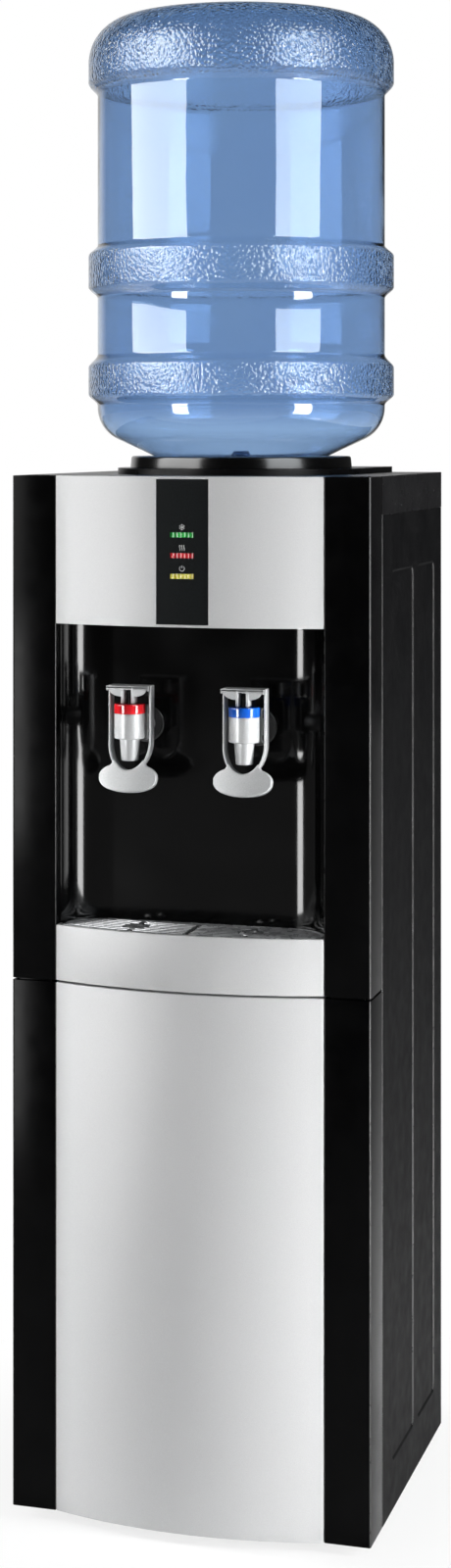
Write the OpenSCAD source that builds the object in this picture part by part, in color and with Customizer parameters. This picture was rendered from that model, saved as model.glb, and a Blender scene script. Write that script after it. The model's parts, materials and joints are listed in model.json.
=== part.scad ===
// Floor-standing water cooler with an inverted bottle, hot and cold push taps and a drip tray.
// Millimetres. The origin is on the floor under the middle of the cooler, and the front faces -Y.

/* [Cabinet] */
// Width over the side panels
body_w = 310; // [290:1:340]
// Depth from the front frame to the rear edge of the side panels
body_d = 283; // [275:1:320]
// Height of the lower front moulding
lower_h = 443.7; // [400:0.1:520]
// Height of the silver apron in front of the drip tray
apron_h = 46.7; // [40:0.1:60]
// Height of the cup niche
niche_h = 253; // [235:1:300]
// Height of the silver fascia above the niche
fascia_h = 124; // [115:1:150]
// Gap between the lower and the upper front moulding
seam_gap = 1.6; // [1:0.1:3]
// Width of each black pillar beside the silver panels
pillar_w = 39; // [32:0.5:48]
// How far the silver panels bow forward at the middle
bow = 17; // [12:0.5:22]
// Wall of the plastic mouldings
wall = 2.5; // [2:0.1:3]
// Thickness of the steel sheets
sheet = 0.8; // [0.6:0.1:1.2]
// Depth of the front mouldings' side strips
strip_d = 42; // [38:0.5:50]
// Gap between a front moulding and the side panel behind it
side_gap = 1.2; // [0.8:0.1:2]
// Height of the top cover's skirt
skirt_h = 32; // [25:1:45]
// Clearance between fixed pieces that slide together
fit = 0.2; // [0.1:0.05:0.3]
// Height of the plastic feet
foot_h = 8; // [6:0.5:14]
// Radius of each foot
foot_r = 14; // [10:0.5:18]
// How far the rear pieces reach behind the cabinet
rear_reach = 20; // [19:0.5:26]
// Depth of the pressed fields in the side panels
press_d = 1.2; // [0.8:0.1:2]

/* [Niche and drip tray] */
// Depth of the niche behind the front frame
niche_d = 42; // [38:0.5:48]
// Corner radius of the niche wall
niche_r = 39; // [25:0.5:39.5]
// Clearance round the drip tray
tray_clear = 0.6; // [0.4:0.1:1]
// Wall of the drip tray
tray_wall = 2; // [1.5:0.1:3]
// Thickness of the drip grille
grille_t = 5; // [4:0.5:7]
// Width of the grille's rim and bars
bar_w = 3; // [2.5:0.1:4]
// Width of one grille slat
slat_w = 2; // [1.6:0.1:2.6]
// Number of slats in the grille
slat_count = 7; // [5:1:8]
// Outer radius of the round target under each tap
target_r = 12; // [9:0.5:14]

/* [Taps] */
// Distance of each tap from the middle
tap_x = 49.5; // [44:0.5:58]
// Distance of the tap's axis in front of the niche wall
tap_out = 45; // [40:0.5:50]
// Height of the tap's shank above the grille
tap_up = 167; // [150:1:185]
// Outer radius of the tap's barrel
barrel_r = 12.95; // [12:0.05:14]
// Height of the barrel
barrel_h = 21; // [19:0.5:26]
// Length of the nozzle below the barrel
nozzle_l = 18.3; // [14:0.1:20]
// Radius at the top of the nozzle
nozzle_top_r = 8.55; // [8:0.05:9.5]
// Radius at the tip of the nozzle
nozzle_tip_r = 7.15; // [6.5:0.05:8]
// Radius of the water way
bore_r = 5; // [4:0.1:5.5]
// Height of the coloured ring
ring_h = 8; // [7:0.5:10]
// Radius of the valve stem
stem_r = 2.5; // [2:0.1:3]
// Radius of the lever's pin
pin_r = 1; // [0.8:0.05:1.2]
// Running clearance of the pins and the stem
run_clear = 0.05; // [0.02:0.01:0.08]
// Height of the lever's pin above the ring
pin_up = 8; // [7:0.5:10]
// Outer width of the lever
lever_w = 37; // [35:0.5:40]
// Thickness of the lever's arms
arm_t = 1.8; // [1.4:0.1:2.4]
// Depth of the lever's arms
arm_d = 10; // [8:0.5:12]
// Width of the lever's paddle
paddle_w = 50; // [42:0.5:58]
// Height of the lever's paddle
paddle_h = 24.3; // [20:0.1:28]
// Radius of the tap's shank
shank_r = 8; // [7:0.5:9]
// Radius of the rosette on the niche wall
rosette_r = 16; // [14:0.5:19]

/* [Bottle and collar] */
// Distance of the bottle's axis behind the front frame
bottle_back = 160; // [155:1:165]
// Height of the raised plateau on the top cover
plateau_h = 5; // [4:0.5:8]
// Radius of the plateau's round front
plateau_r = 109; // [104:0.5:114]
// Outer radius of the collar
collar_r = 98; // [92:0.5:102]
// Height of the collar
collar_h = 10.5; // [9:0.5:14]
// Radius at which the bottle's cone rests on the collar
seat_r = 78; // [74:0.5:82]
// Radius of the bottle's wall
bottle_r = 127; // [120:0.5:130]
// Radius over the bottle's ribs and its base
rib_r = 135; // [132:0.5:140]
// Radius of the bottle's neck
neck_r = 27.5; // [26.5:0.1:28.5]
// Length of the bottle's neck
neck_l = 50; // [48:0.5:52]
// Height of the bottle above the collar
bottle_h = 386.5; // [340:0.5:400]
// Wall of the bottle
bottle_wall = 1.5; // [1.2:0.1:2]
// Slope of the bottle's cone
cone_slope = 25; // [22:0.5:28]

/* [Water path] */
// Radius of the cold tank
cold_r = 60; // [52:0.5:62]
// Height of the cold tank
cold_h = 115; // [100:1:118]
// Radius of the hot tank
hot_r = 45; // [40:0.5:48]
// Height of the hot tank
hot_h = 110; // [90:1:120]
// Thickness of the foam round the tanks
foam_t = 12; // [10:0.5:14]
// Outer radius of the hoses
hose_r = 6.5; // [6:0.1:7]
// Wall of the hoses
hose_wall = 2; // [1.5:0.1:2.5]
// Bend radius of the hoses and pipes
bend_r = 12; // [12:0.5:14]
// Radius of the probe that enters the bottle
probe_r = 8.5; // [7.5:0.1:9.5]

/* [Cooling circuit] */
// Radius of the compressor
comp_r = 60; // [52:0.5:62]
// Height of the compressor
comp_h = 146; // [120:1:150]
// Height of the rubber mounts
mount_h = 15; // [12:0.5:18]
// Radius of the condenser's tube
coil_r = 2.4; // [2:0.1:3]
// Number of runs of the condenser's tube
coil_runs = 11; // [7:2:13]
// Spacing of the condenser's runs
coil_pitch = 38; // [34:1:40]
// Half the width of the condenser
coil_half_w = 118; // [105:1:124]
// Radius of the condenser's wires
wire_r = 0.8; // [0.6:0.1:1.1]
// Number of wires on each face of the condenser
wire_count = 15; // [8:1:18]

/* [Rear pieces] */
// Width of one rocker
rocker_w = 14; // [12:0.5:16]
// Radius of a rocker about its pivot
rocker_r = 11; // [9:0.5:12]
// Tilt of a rocker to each side
rocker_tilt = 10; // [6:1:12]
// Radius of the drain spigot
drain_r = 9; // [8:0.5:11]

/* [Hidden] */
$fn = 96;
tiny = 0.02;

y_front = bow - (bow + body_d + rear_reach) / 2;
y_rear = y_front + body_d;
y_wall = y_front + niche_d;
y_bottle = y_front + bottle_back;
y_tap = y_wall - tap_out;
z_base = foot_h;
z_lower_top = z_base + lower_h;
z_upper = z_lower_top + seam_gap;
z_grille = z_upper + apron_h;
z_niche_top = z_grille + niche_h;
z_top = z_niche_top + fascia_h;
z_skirt = z_top - skirt_h;
half_w = body_w / 2;
panel_half = half_w - pillar_w;
niche_half = panel_half + 1;
chord = 2 * panel_half;
bow_r = (chord * chord / 4 + bow * bow) / (2 * bow);
y_bow = y_front - bow + bow_r;
lip_d = 10;
y_back_rail = y_front + lip_d + fit;
screw_r = 1.6;
screw_x = half_w - 6;
strip_half = 22.35;
strip_end = 2;
lens_w = 20;
lens_h = 4.3;
lip_fit = 0.3;
y_target = y_front + 16;

shank_z = z_grille + tap_up;
barrel_z = shank_z - shank_r;
barrel_top = barrel_z + barrel_h;
ring_top = barrel_top + ring_h;
pin_z = ring_top + pin_up;
seat_z = barrel_z + wall;
seal_h = 4;
cap_t = 2;
plate_t = 2.5;
plate_up = 7;
stem_top = pin_z + 3;
prong_gap = 2 * stem_r + 4 * fit / 2;
prong_w = 3;
prong_out = prong_gap / 2 + prong_w;
bar_h = 4;
bar_d = 3;
web_t = 1.6;
neck_in = 4.4;
y_arm = -1;
z_bend = barrel_z - 2;
loop_h = nozzle_l + 6.2;
lean = 12;
paddle_drop = 30.5;
ring_over = 0.2;
shank_end = 12;

z_collar = z_top + plateau_h;
z_collar_top = z_collar + collar_h;
seat_clear = 0.3;
z_bottle_top = z_collar_top + bottle_h;
shoulder_r = 31;
base_corner_r = 40;
seat_in = 8;
ledge_w = 4;
z_ledge = z_top;
probe_top = z_collar_top + 2;

tank_gap = 6;
shelf_t = 1.2;
z_cold = z_niche_top - 63;
z_cold_top = z_cold + cold_h;
z_cold_foam = z_cold - foam_t;
z_hot_foam_top = z_cold_foam - 26;
z_hot_top = z_hot_foam_top - foam_t;
z_hot = z_hot_top - hot_h;
z_hot_foam = z_hot - foam_t;
hot_x = -tap_x / 2;
y_hot = y_wall + 108;
feed_x = -10;
feed_y = y_hot + 22;
y_hose = y_wall + wall + shank_end + tank_gap;
z_drain = z_base + 197;
heater_up = 15;
heater_h = 30;
thermostat_r = 7;
thermostat_x = 14;
thermostat_ys = [-20, -32];
evaporator_end = 20;
coil_t = 7;
z_suction = z_cold + 75;
z_capillary = z_cold + 55;

comp_x = 20;
comp_y = y_rear - 83;
z_pan = z_base + shelf_t;
z_comp = z_pan + mount_h;
z_coil_top = z_drain + 45 + (coil_runs - 1) * coil_pitch;
z_coil_bottom = z_drain + 45;
y_coil = y_rear + 12;
rear_y = y_rear - 2 * sheet;
pipe_r = 2.4;
drier_r = 9;
pipe_x = coil_half_w;
coil_bend = 10;
coil_reach = coil_half_w - 2 * coil_bend;
wire_pitch = 2 * coil_reach / (wire_count - 1);
switch_x = half_w - 67;
switch_z = z_skirt - 55;
rocker_gap = 0.3;
rocker_pitch = rocker_w + 6;
switch_half_w = rocker_pitch + 6;
switch_half_h = rocker_r + 8;
plate_out = 3;
y_pivot = y_rear + plate_out - 3;
pivot_r = 1.5;
gland_r = 7;

// A box from its lowest to its highest corner
module block(low, high) {
    translate(low) cube(high - low);
}

// Copies on both sides of the middle plane
module both_sides() {
    for (side = [-1, 1]) scale([side, 1, 1]) children();
}

// A rod of radius r between two heights
module rod(r, z0, z1, x = 0, y = 0) {
    translate([x, y, z0]) cylinder(r = r, h = z1 - z0);
}

// A tube between two heights
module tube(r_out, r_in, z0, z1) {
    rotate_extrude() translate([r_in, z0]) square([r_out - r_in, z1 - z0]);
}

// A rod of radius r along Y
module rod_y(r, y0, y1, x, z) {
    translate([x, y0, z]) rotate([-90, 0, 0]) cylinder(r = r, h = y1 - y0);
}

// A rod of radius r along X
module rod_x(r, x0, x1, y, z) {
    translate([x0, y, z]) rotate([0, 90, 0]) cylinder(r = r, h = x1 - x0);
}

function unit(a, b) = (b - a) / norm(b - a);
function side_of(d) = [d.y, d.z, d.x];
function frame_of(u, v, w, at) = [[u.x, v.x, w.x, at.x], [u.y, v.y, w.y, at.y], [u.z, v.z, w.z, at.z]];

// A pipe or hose along points joined by square corners, each rounded to radius bend
module pipe(points, r_out, r_in = 0, bend = bend_r) {
    last = len(points) - 1;
    for (i = [0:last - 1]) {
        d = unit(points[i], points[i + 1]);
        a = points[i] + (i == 0 ? 0 : bend) * d;
        b = points[i + 1] - (i == last - 1 ? 0 : bend) * d;
        u = side_of(d);
        if (norm(b - a) > tiny)
            multmatrix(frame_of(u, cross(d, u), d, a)) linear_extrude(norm(b - a)) section(r_out, r_in);
    }
    for (i = [1:1:last - 1]) {
        a = unit(points[i - 1], points[i]);
        b = unit(points[i], points[i + 1]);
        multmatrix(frame_of(-b, a, cross(a, b), points[i] + bend * (b - a)))
            rotate_extrude(angle = 90) translate([bend, 0]) section(r_out, r_in);
    }
}

// The round section of a pipe or hose
module section(r_out, r_in) {
    difference() {
        circle(r_out);
        if (r_in > 0) circle(r_in);
    }
}

// Plan of the niche, grown outward by the given amount
module niche_plan(grow) {
    y_corner = y_wall - niche_r;
    translate([-niche_half - grow, y_front - bow])
        square([2 * (niche_half + grow), y_corner - y_front + bow]);
    translate([-(niche_half - niche_r), y_front - bow])
        square([2 * (niche_half - niche_r), y_wall + grow - y_front + bow]);
    for (side = [-1, 1]) translate([side * (niche_half - niche_r), y_corner]) circle(niche_r + grow);
}

// Plan behind the bowed front face, set back by the given amount and ending at the lips' depth
module bow_plan(inset, half, back) {
    intersection() {
        translate([0, y_bow]) circle(bow_r - inset, $fn = 180);
        translate([-half + inset, y_front - bow]) square([2 * (half - inset), back + bow]);
    }
}

// A silver shell with a bowed face, side flanges, and a lip at the bottom and, if asked, at the top
module bow_shell(z0, z1, top_lip) {
    difference() {
        translate([0, 0, z0]) linear_extrude(z1 - z0) bow_plan(0, panel_half - fit, lip_d);
        translate([0, 0, z0 + wall]) linear_extrude(z1 - z0 - (top_lip ? 2 * wall : 0))
            bow_plan(wall, panel_half - fit, 2 * lip_d);
    }
}

// One black pillar moulding with its side strip and the rib that holds the silver shell
module pillar(z0, z1) {
    block([panel_half, y_front, z0], [half_w, y_front + wall, z1]);
    block([half_w - wall, y_front, z0], [half_w, y_front + strip_d, z1]);
    block([panel_half, y_front, z0], [panel_half + wall, y_front + lip_d + wall, z1]);
}

module base_pan() {
    color("dimgray") difference() {
        block([-half_w + sheet + fit, y_front + lip_d + wall + 2 * fit, z_base],
            [half_w - sheet - fit, y_rear - 3 * sheet, z_base + 18]);
        block([-half_w + sheet + fit + shelf_t, y_front + lip_d + wall + 2 * fit + shelf_t, z_pan],
            [half_w - sheet - fit - shelf_t, y_rear - 3 * sheet - shelf_t, z_base + 20]);
        both_sides() {
            block([half_w - wall - fit, y_front, z_base - 1], [half_w, y_front + strip_d + side_gap, z_base + 20]);
            block([half_w - sheet - fit - lip_d - 2, y_front, z_base - 1],
                [half_w, y_front + strip_d + side_gap + sheet + fit, z_base + 20]);
        }
    }
}

module feet() {
    color("black") both_sides() {
        for (y = [y_front + strip_d + side_gap + 2 * foot_r, y_rear - 2 * foot_r]) {
            rod(foot_r, 0, z_base, half_w - 2 * foot_r, y);
        }
    }
}

// One pressed field: a shallow tray with sloped edges, seen from outside
module pressed_field(y0, y1, z0, z1, depth, x_out) {
    slope = depth * 2;
    intersection() {
        translate([0, 0, z0]) linear_extrude(z1 - z0) polygon([[x_out + 1, y0 - slope], [x_out, y0],
            [x_out - depth, y0 + slope], [x_out - depth, y1 - slope], [x_out, y1], [x_out + 1, y1 + slope]]);
        translate([0, y1, 0]) rotate([90, 0, 0]) linear_extrude(y1 - y0) polygon([[x_out + 1, z0 - slope],
            [x_out, z0], [x_out - depth, z0 + slope], [x_out - depth, z1 - slope], [x_out, z1],
            [x_out + 1, z1 + slope]]);
    }
}

// The two pressed fields of a side panel
module pressed_fields(depth, grow) {
    z0 = z_base + 40 - grow;
    z1 = z_skirt - 47 + grow;
    y_first = y_front + strip_d + 35;
    field_gap = 13;
    y_last = y_rear - 31;
    first_w = (y_last - y_first - field_gap) * 0.54;
    pressed_field(y_first - grow, y_first + first_w + grow, z0, z1, depth, half_w - (grow > 0 ? sheet : 0));
    pressed_field(y_first + first_w + field_gap - grow, y_last + grow, z0, z1, depth,
        half_w - (grow > 0 ? sheet : 0));
}

module side_panel() {
    y0 = y_front + strip_d + side_gap;
    z1 = z_skirt - fit;
    flange = lip_d + 2;
    difference() {
        union() {
            block([half_w - sheet, y0, z_base], [half_w, y_rear, z1]);
            block([half_w - flange, y0, z_base], [half_w, y0 + sheet, z1]);
            block([half_w - flange, y_rear - sheet, z_base], [half_w, y_rear, z1]);
            intersection() {
                pressed_fields(press_d, sheet);
                block([0, y0, z_base], [half_w - sheet / 2, y_rear, z1]);
            }
        }
        pressed_fields(press_d, 0);
        for (z = screw_heights()) rod_y(screw_r + fit, y_rear - 2 * sheet, y_rear + 1, screw_x, z);
    }
}

function screw_heights() = [for (i = [0:3]) z_drain + 15 + i * (z_skirt - z_drain - 40) / 3];

module right_side_panel() {
    color([0.1, 0.1, 0.1]) side_panel();
}

module left_side_panel() {
    color([0.1, 0.1, 0.1]) scale([-1, 1, 1]) side_panel();
}

module rear_panel() {
    bracket_w = wire_pitch - 2 * wire_r - 2;
    bracket_x = coil_reach - 1.5 * wire_pitch;
    color([0.12, 0.12, 0.12]) {
        difference() {
            block([-half_w + sheet + fit, rear_y, z_drain - 30], [half_w - sheet - fit, rear_y + sheet - tiny, z_skirt - fit]);
            rod_y(pipe_r + fit, rear_y - 1, y_rear, pipe_x, z_coil_top);
            rod_y(pipe_r + fit, rear_y - 1, y_rear, -pipe_x, z_coil_bottom);
            rod_y(drain_r + fit, rear_y - 1, y_rear, hot_x, z_drain);
            block([switch_x - switch_half_w + 3, rear_y - 1, switch_z - switch_half_h + 3],
                [switch_x + switch_half_w - 3, y_rear, switch_z + switch_half_h - 3]);
            rod_y(gland_r + fit, rear_y - 1, y_rear, -switch_x, switch_z);
            both_sides() for (z = screw_heights()) rod_y(screw_r + fit, rear_y - 1, y_rear, screw_x, z);
        }
        both_sides() for (z = [z_coil_bottom + 1.5 * coil_pitch, z_coil_top - 1.5 * coil_pitch])
            block([bracket_x - bracket_w / 2, rear_y + sheet - 2 * tiny, z - coil_pitch / 2 - bracket_w / 2],
                [bracket_x + bracket_w / 2, y_coil - coil_r - fit, z - coil_pitch / 2 + bracket_w / 2]);
    }
}

module top_cover() {
    y0 = y_front + wall + fit;
    y_band = y_front + strip_d + side_gap;
    color([0.08, 0.08, 0.08]) difference() {
        union() {
            block([-half_w + wall + fit, y0, z_top - wall], [half_w - wall - fit, y_band + wall, z_top]);
            block([-half_w, y_band, z_top - wall], [half_w, y_rear, z_top]);
            both_sides() block([half_w - wall, y_band, z_skirt], [half_w, y_rear, z_top]);
            block([-half_w, y_rear - wall, z_skirt], [half_w, y_rear, z_top]);
            rod(plateau_r, z_top - wall, z_collar, 0, y_bottle);
            block([-plateau_r, y_bottle, z_top - wall], [plateau_r, y_rear, z_collar]);
        }
        rod(seat_r - 4, z_top - 2 * wall, z_collar + 1, 0, y_bottle);
        rod(plateau_r - wall, z_top - 2 * wall, z_collar - wall, 0, y_bottle);
        translate([0, 0, z_top - 2 * wall]) linear_extrude(3 * wall) bow_plan(-fit, panel_half, lip_d + fit);
        both_sides() block([panel_half - fit, y_front, z_top - 2 * wall],
            [panel_half + wall + fit, y_front + lip_d + wall + fit, z_top + 1]);
    }
}

module bottle_collar() {
    color("black") translate([0, y_bottle, 0]) rotate_extrude() polygon([
        [seat_r - 4 - fit, z_top - wall], [seat_r - 4 - fit, z_collar], [collar_r, z_collar],
        [collar_r - 1, z_collar_top], [seat_r, z_collar_top],
        [seat_r - seat_in, z_collar_top - seat_in * tan(cone_slope)], [seat_r - seat_in, z_ledge],
        [seat_r - seat_in - ledge_w, z_ledge], [seat_r - seat_in - ledge_w, z_top - wall]]);
}

// Everything in front of the front frame, in plan
module front_of_frame() {
    translate([-half_w, y_front - body_d]) square([body_w, body_d]);
}

module upper_front_frame() {
    color([0.05, 0.05, 0.05]) difference() {
        union() {
            both_sides() pillar(z_upper, z_top);
            translate([0, 0, z_upper]) linear_extrude(z_niche_top + wall - z_upper) difference() {
                niche_plan(wall);
                niche_plan(0);
                front_of_frame();
            }
            for (z = [z_upper, z_niche_top]) translate([0, 0, z]) linear_extrude(wall) difference() {
                niche_plan(wall);
                translate([-panel_half, y_front - 2 * bow]) square([chord, 2 * bow + lip_d + fit]);
                front_of_frame();
            }
            block([-niche_half, y_back_rail, z_niche_top], [niche_half, y_back_rail + wall, z_top - wall - fit]);
        }
        both_sides() rod_y(shank_r + fit, y_wall - 1, y_wall + 2 * wall, tap_x, shank_z);
    }
}

module lower_front_frame() {
    rail_h = 30;
    tongue = 16;
    color([0.05, 0.05, 0.05]) {
        both_sides() {
            pillar(z_base, z_lower_top);
            block([panel_half + 2 * wall, y_front + wall - tiny, z_lower_top - tongue],
                [half_w - 2 * wall, y_front + wall + 2, z_lower_top]);
            block([panel_half + 2 * wall, y_front + wall + fit, z_lower_top - tongue],
                [half_w - 2 * wall, y_front + wall + 2, z_lower_top + tongue]);
            block([half_w - wall - 2, y_front + 2 * wall, z_lower_top - tongue],
                [half_w - wall - fit, y_front + strip_d, z_lower_top + tongue]);
            block([half_w - wall - 2, y_front + 2 * wall, z_lower_top - tongue],
                [half_w - wall + tiny, y_front + strip_d, z_lower_top - fit]);
        }
        for (z = [z_base, (z_base + z_lower_top) / 2, z_lower_top - rail_h])
            block([-panel_half - wall, y_back_rail, z], [panel_half + wall, y_back_rail + wall, z + rail_h]);
    }
}

function lens_z(i) = z_top - 48 - i * 17;

module top_fascia() {
    color([0.82, 0.83, 0.84]) difference() {
        bow_shell(z_niche_top, z_top, true);
        block([-strip_half - fit, y_front - bow - 1, z_niche_top + strip_end],
            [strip_half + fit, y_front - bow + 2 * wall, z_top - strip_end]);
    }
}

module tray_apron() {
    color([0.82, 0.83, 0.84]) bow_shell(z_upper, z_grille, false);
}

module lower_front_panel() {
    color([0.82, 0.83, 0.84]) bow_shell(z_base, z_lower_top, true);
}

// A bowed slice of the fascia between two set-backs
module bow_slice(z0, z1, half, front, back) {
    translate([0, 0, z0]) linear_extrude(z1 - z0) difference() {
        intersection() {
            translate([0, y_bow]) circle(bow_r - front, $fn = 180);
            translate([-half, y_front - bow]) square([2 * half, 4 * wall]);
        }
        translate([0, y_bow]) circle(bow_r - back, $fn = 180);
    }
}

module indicator_strip() {
    color([0.06, 0.07, 0.07]) difference() {
        bow_slice(z_niche_top + strip_end + fit, z_top - strip_end - fit, strip_half, 0.4, wall + 0.4);
        for (i = [0:2]) block([-lens_w / 2, y_front - bow - 1, lens_z(i) - lens_h / 2],
            [lens_w / 2, y_front, lens_z(i) + lens_h / 2]);
    }
}

module lens(i) {
    bow_slice(lens_z(i) - lens_h / 2 + fit / 2, lens_z(i) + lens_h / 2 - fit / 2, lens_w / 2 - fit / 2, 0.2, wall + 2);
}

module cooling_lens() {
    color("limegreen") lens(0);
}

module heating_lens() {
    color("red") lens(1);
}

module power_lens() {
    color("gold") lens(2);
}

module indicator_board() {
    y_board = y_front - bow + wall + 2 + lens_w * lens_w / bow_r / 8 + fit;
    board_half = strip_half - 4;
    led_z = [for (i = [0:2]) lens_z(i)];
    color("darkgreen") {
        difference() {
            block([-board_half, y_board, lens_z(2) - 14], [board_half, y_board + 1.6, lens_z(0) + 14]);
            for (z = [lens_z(2) - 9, lens_z(0) + 9]) rod_y(1.5, y_board - 1, y_board + 3, 0, z);
        }
        for (z = led_z) block([-2.5, y_board + 1.6 - tiny, z - 1.5], [2.5, y_board + 3, z + 1.5]);
    }
}

// Plan of the tray's pocket, shrunk by the given amount
module tray_plan(shrink) {
    side_half = panel_half - wall - 2 * fit - shrink;
    intersection() {
        translate([0, y_bow]) circle(bow_r - wall - shrink, $fn = 180);
        translate([-side_half, y_front - bow]) square([2 * side_half, bow + niche_d - shrink]);
        union() {
            translate([-niche_half, y_front - bow]) square([2 * niche_half, bow + niche_d - niche_r]);
            translate([-(niche_half - niche_r), y_front]) square([2 * (niche_half - niche_r), niche_d]);
            for (side = [-1, 1]) translate([side * (niche_half - niche_r), y_wall - niche_r]) circle(niche_r - shrink);
        }
    }
}

module drip_tray() {
    z0 = z_upper + wall + fit;
    z1 = z_grille - grille_t - fit;
    color([0.1, 0.1, 0.1]) difference() {
        translate([0, 0, z0]) linear_extrude(z1 - z0) tray_plan(tray_clear + lip_fit);
        translate([0, 0, z0 + tray_wall]) linear_extrude(z1) tray_plan(tray_clear + lip_fit + tray_wall);
    }
}

module drip_grille() {
    z0 = z_grille - grille_t;
    slat_t = 3;
    clear = tray_clear + lip_fit;
    pitch = (niche_d + bow - wall - 2 * clear - 2 * bar_w + (bar_w - slat_w)) / (slat_count + 1);
    color([0.6, 0.61, 0.62]) difference() {
        union() {
            translate([0, 0, z0]) linear_extrude(grille_t) difference() {
                tray_plan(clear);
                tray_plan(clear + bar_w);
            }
            translate([0, 0, z_grille - slat_t]) linear_extrude(slat_t) intersection() {
                tray_plan(clear + bar_w / 2);
                union() {
                    for (i = [1:slat_count]) difference() {
                        translate([0, y_bow + i * pitch]) circle(bow_r - wall - clear - bar_w + slat_w, $fn = 180);
                        translate([0, y_bow + i * pitch]) circle(bow_r - wall - clear - bar_w, $fn = 180);
                    }
                    for (x = [-tap_x, 0, tap_x]) translate([x - bar_w / 2, y_front - bow]) square([bar_w, niche_d + bow]);
                    for (side = [-1, 1]) translate([side * tap_x, y_target]) circle(target_r);
                }
            }
        }
        both_sides() rod(target_r - bar_w, z0 - 1, z_grille + 1, tap_x, y_target);
    }
}

// The tap's hollow barrel, nozzle and shank, with the yoke at its back
module tap_body() {
    lip = 2;
    nozzle_z = barrel_z - nozzle_l;
    color([0.8, 0.81, 0.82]) difference() {
        union() {
            rod(barrel_r, barrel_z, barrel_top);
            rod(barrel_r - 2, barrel_top - tiny, ring_top - cap_t - fit);
            translate([0, 0, nozzle_z]) cylinder(r1 = nozzle_tip_r, r2 = nozzle_top_r, h = nozzle_l);
            rod_y(shank_r, 0, tap_out + wall + shank_end, 0, shank_z);
            rod_y(hose_r, tap_out + wall + shank_end - tiny, tap_out + wall + shank_end + tank_gap, 0, shank_z);
            block([-barrel_r + lip / 2, barrel_r - lip + fit, barrel_z - lip], [barrel_r - lip / 2, barrel_r, ring_top - lip]);
            for (z = [barrel_z - lip, ring_top - 2 * lip])
                block([-barrel_r + lip / 2, barrel_r - lip + fit, z], [barrel_r - lip / 2, barrel_r + 3, z + lip]);
        }
        rod(barrel_r - 2 - lip, seat_z, ring_top);
        rod(bore_r, nozzle_z - 1, ring_top);
        rod_y(bore_r - 1, 0, tap_out + wall + shank_end + tank_gap + 1, 0, shank_z);
        difference() {
            rod(barrel_r + ring_over + fit / 2, barrel_top + tiny, ring_top);
            rod(barrel_r - 2, barrel_top, ring_top);
        }
    }
}

module tap_ring() {
    difference() {
        rod(barrel_r + ring_over, barrel_top + fit / 2, ring_top);
        rod(barrel_r - 2 + fit, barrel_top, ring_top - cap_t);
        rod(stem_r + run_clear, barrel_top, ring_top + 1);
    }
}

module tap_stem() {
    color([0.1, 0.1, 0.1]) difference() {
        rod(stem_r, seat_z + seal_h, stem_top);
        rod_x(pin_r + run_clear, -stem_r - 1, stem_r + 1, 0, pin_z);
    }
}

module tap_seal() {
    color("ghostwhite") rod(barrel_r - 2 - 3, seat_z + fit / 2, seat_z + seal_h);
}

module tap_spring() {
    color("silver") tube(stem_r + 4, stem_r + 3, seat_z + seal_h, ring_top - cap_t);
}

module lever_pin() {
    color("silver") rod_x(pin_r, -prong_out, prong_out, 0, pin_z);
}

// Lower half of an oval from its left end to its right end; a power of 2 gives an ellipse
function half_oval(a, b, power = 2, n = 24) = [for (i = [0:n]) let (t = 180 + 180 * i / n)
    [a * sign(cos(t)) * pow(abs(cos(t)), 2 / power), b * sign(sin(t)) * pow(abs(sin(t)), 2 / power)]];

// The lever: a front bar with two cam prongs, two arms beside the barrel, and a loop with its paddle
module tap_lever() {
    y_bar = -barrel_r + 5.5;
    z_plate = pin_z + plate_up;
    half = lever_w / 2;
    color([0.84, 0.85, 0.86]) difference() {
        union() {
            block([-half, y_bar, z_plate - bar_h], [half, y_bar + bar_d, z_plate]);
            translate([0, y_bar + web_t, z_plate]) rotate([90, 0, 0]) linear_extrude(web_t)
                polygon(half_oval(half - web_t, pin_up + 1));
            block([-half + neck_in, y_bar + web_t - tiny, z_plate - plate_t], [half - neck_in, y_arm + tiny, z_plate]);
            block([-half, y_arm, z_plate - plate_t], [half, y_arm + arm_d, z_plate]);
            both_sides() {
                block([prong_gap / 2, y_bar, ring_top + lip_fit], [prong_out, y_arm + neck_in, z_plate - tiny]);
                block([half - arm_t, y_arm, z_bend - arm_t], [half, y_arm + arm_d, z_plate - tiny]);
            }
            at_bend() {
                translate([0, arm_d, 0]) rotate([90, 0, 0]) linear_extrude(arm_d)
                    polygon(half_oval(half, loop_h + arm_t));
                translate([0, plate_t, -paddle_drop]) rotate([90, 0, 0]) linear_extrude(plate_t)
                    polygon(concat(half_oval(paddle_w / 2, paddle_h / 2, 2.3),
                        -1 * half_oval(paddle_w / 2, paddle_h / 2)));
            }
        }
        at_bend() translate([0, arm_d + 2, 0]) rotate([90, 0, 0]) linear_extrude(arm_d + 4)
            polygon(concat(half_oval(half - arm_t, loop_h), [[half - arm_t, arm_t * 2], [arm_t - half, arm_t * 2]]));
        block([-prong_gap / 2, y_bar - 1, ring_top], [prong_gap / 2, y_arm + neck_in + 1, z_plate - plate_t - 1]);
        rod_x(pin_r + run_clear, -prong_out - 1, prong_out + 1, 0, pin_z);
    }
}

// The lower part of the lever leans forward from the bend of its arms
module at_bend() {
    translate([0, y_arm, z_bend]) rotate([-lean, 0, 0]) children();
}

module at_tap(side) {
    translate([side * tap_x, y_tap, 0]) children();
}

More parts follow.
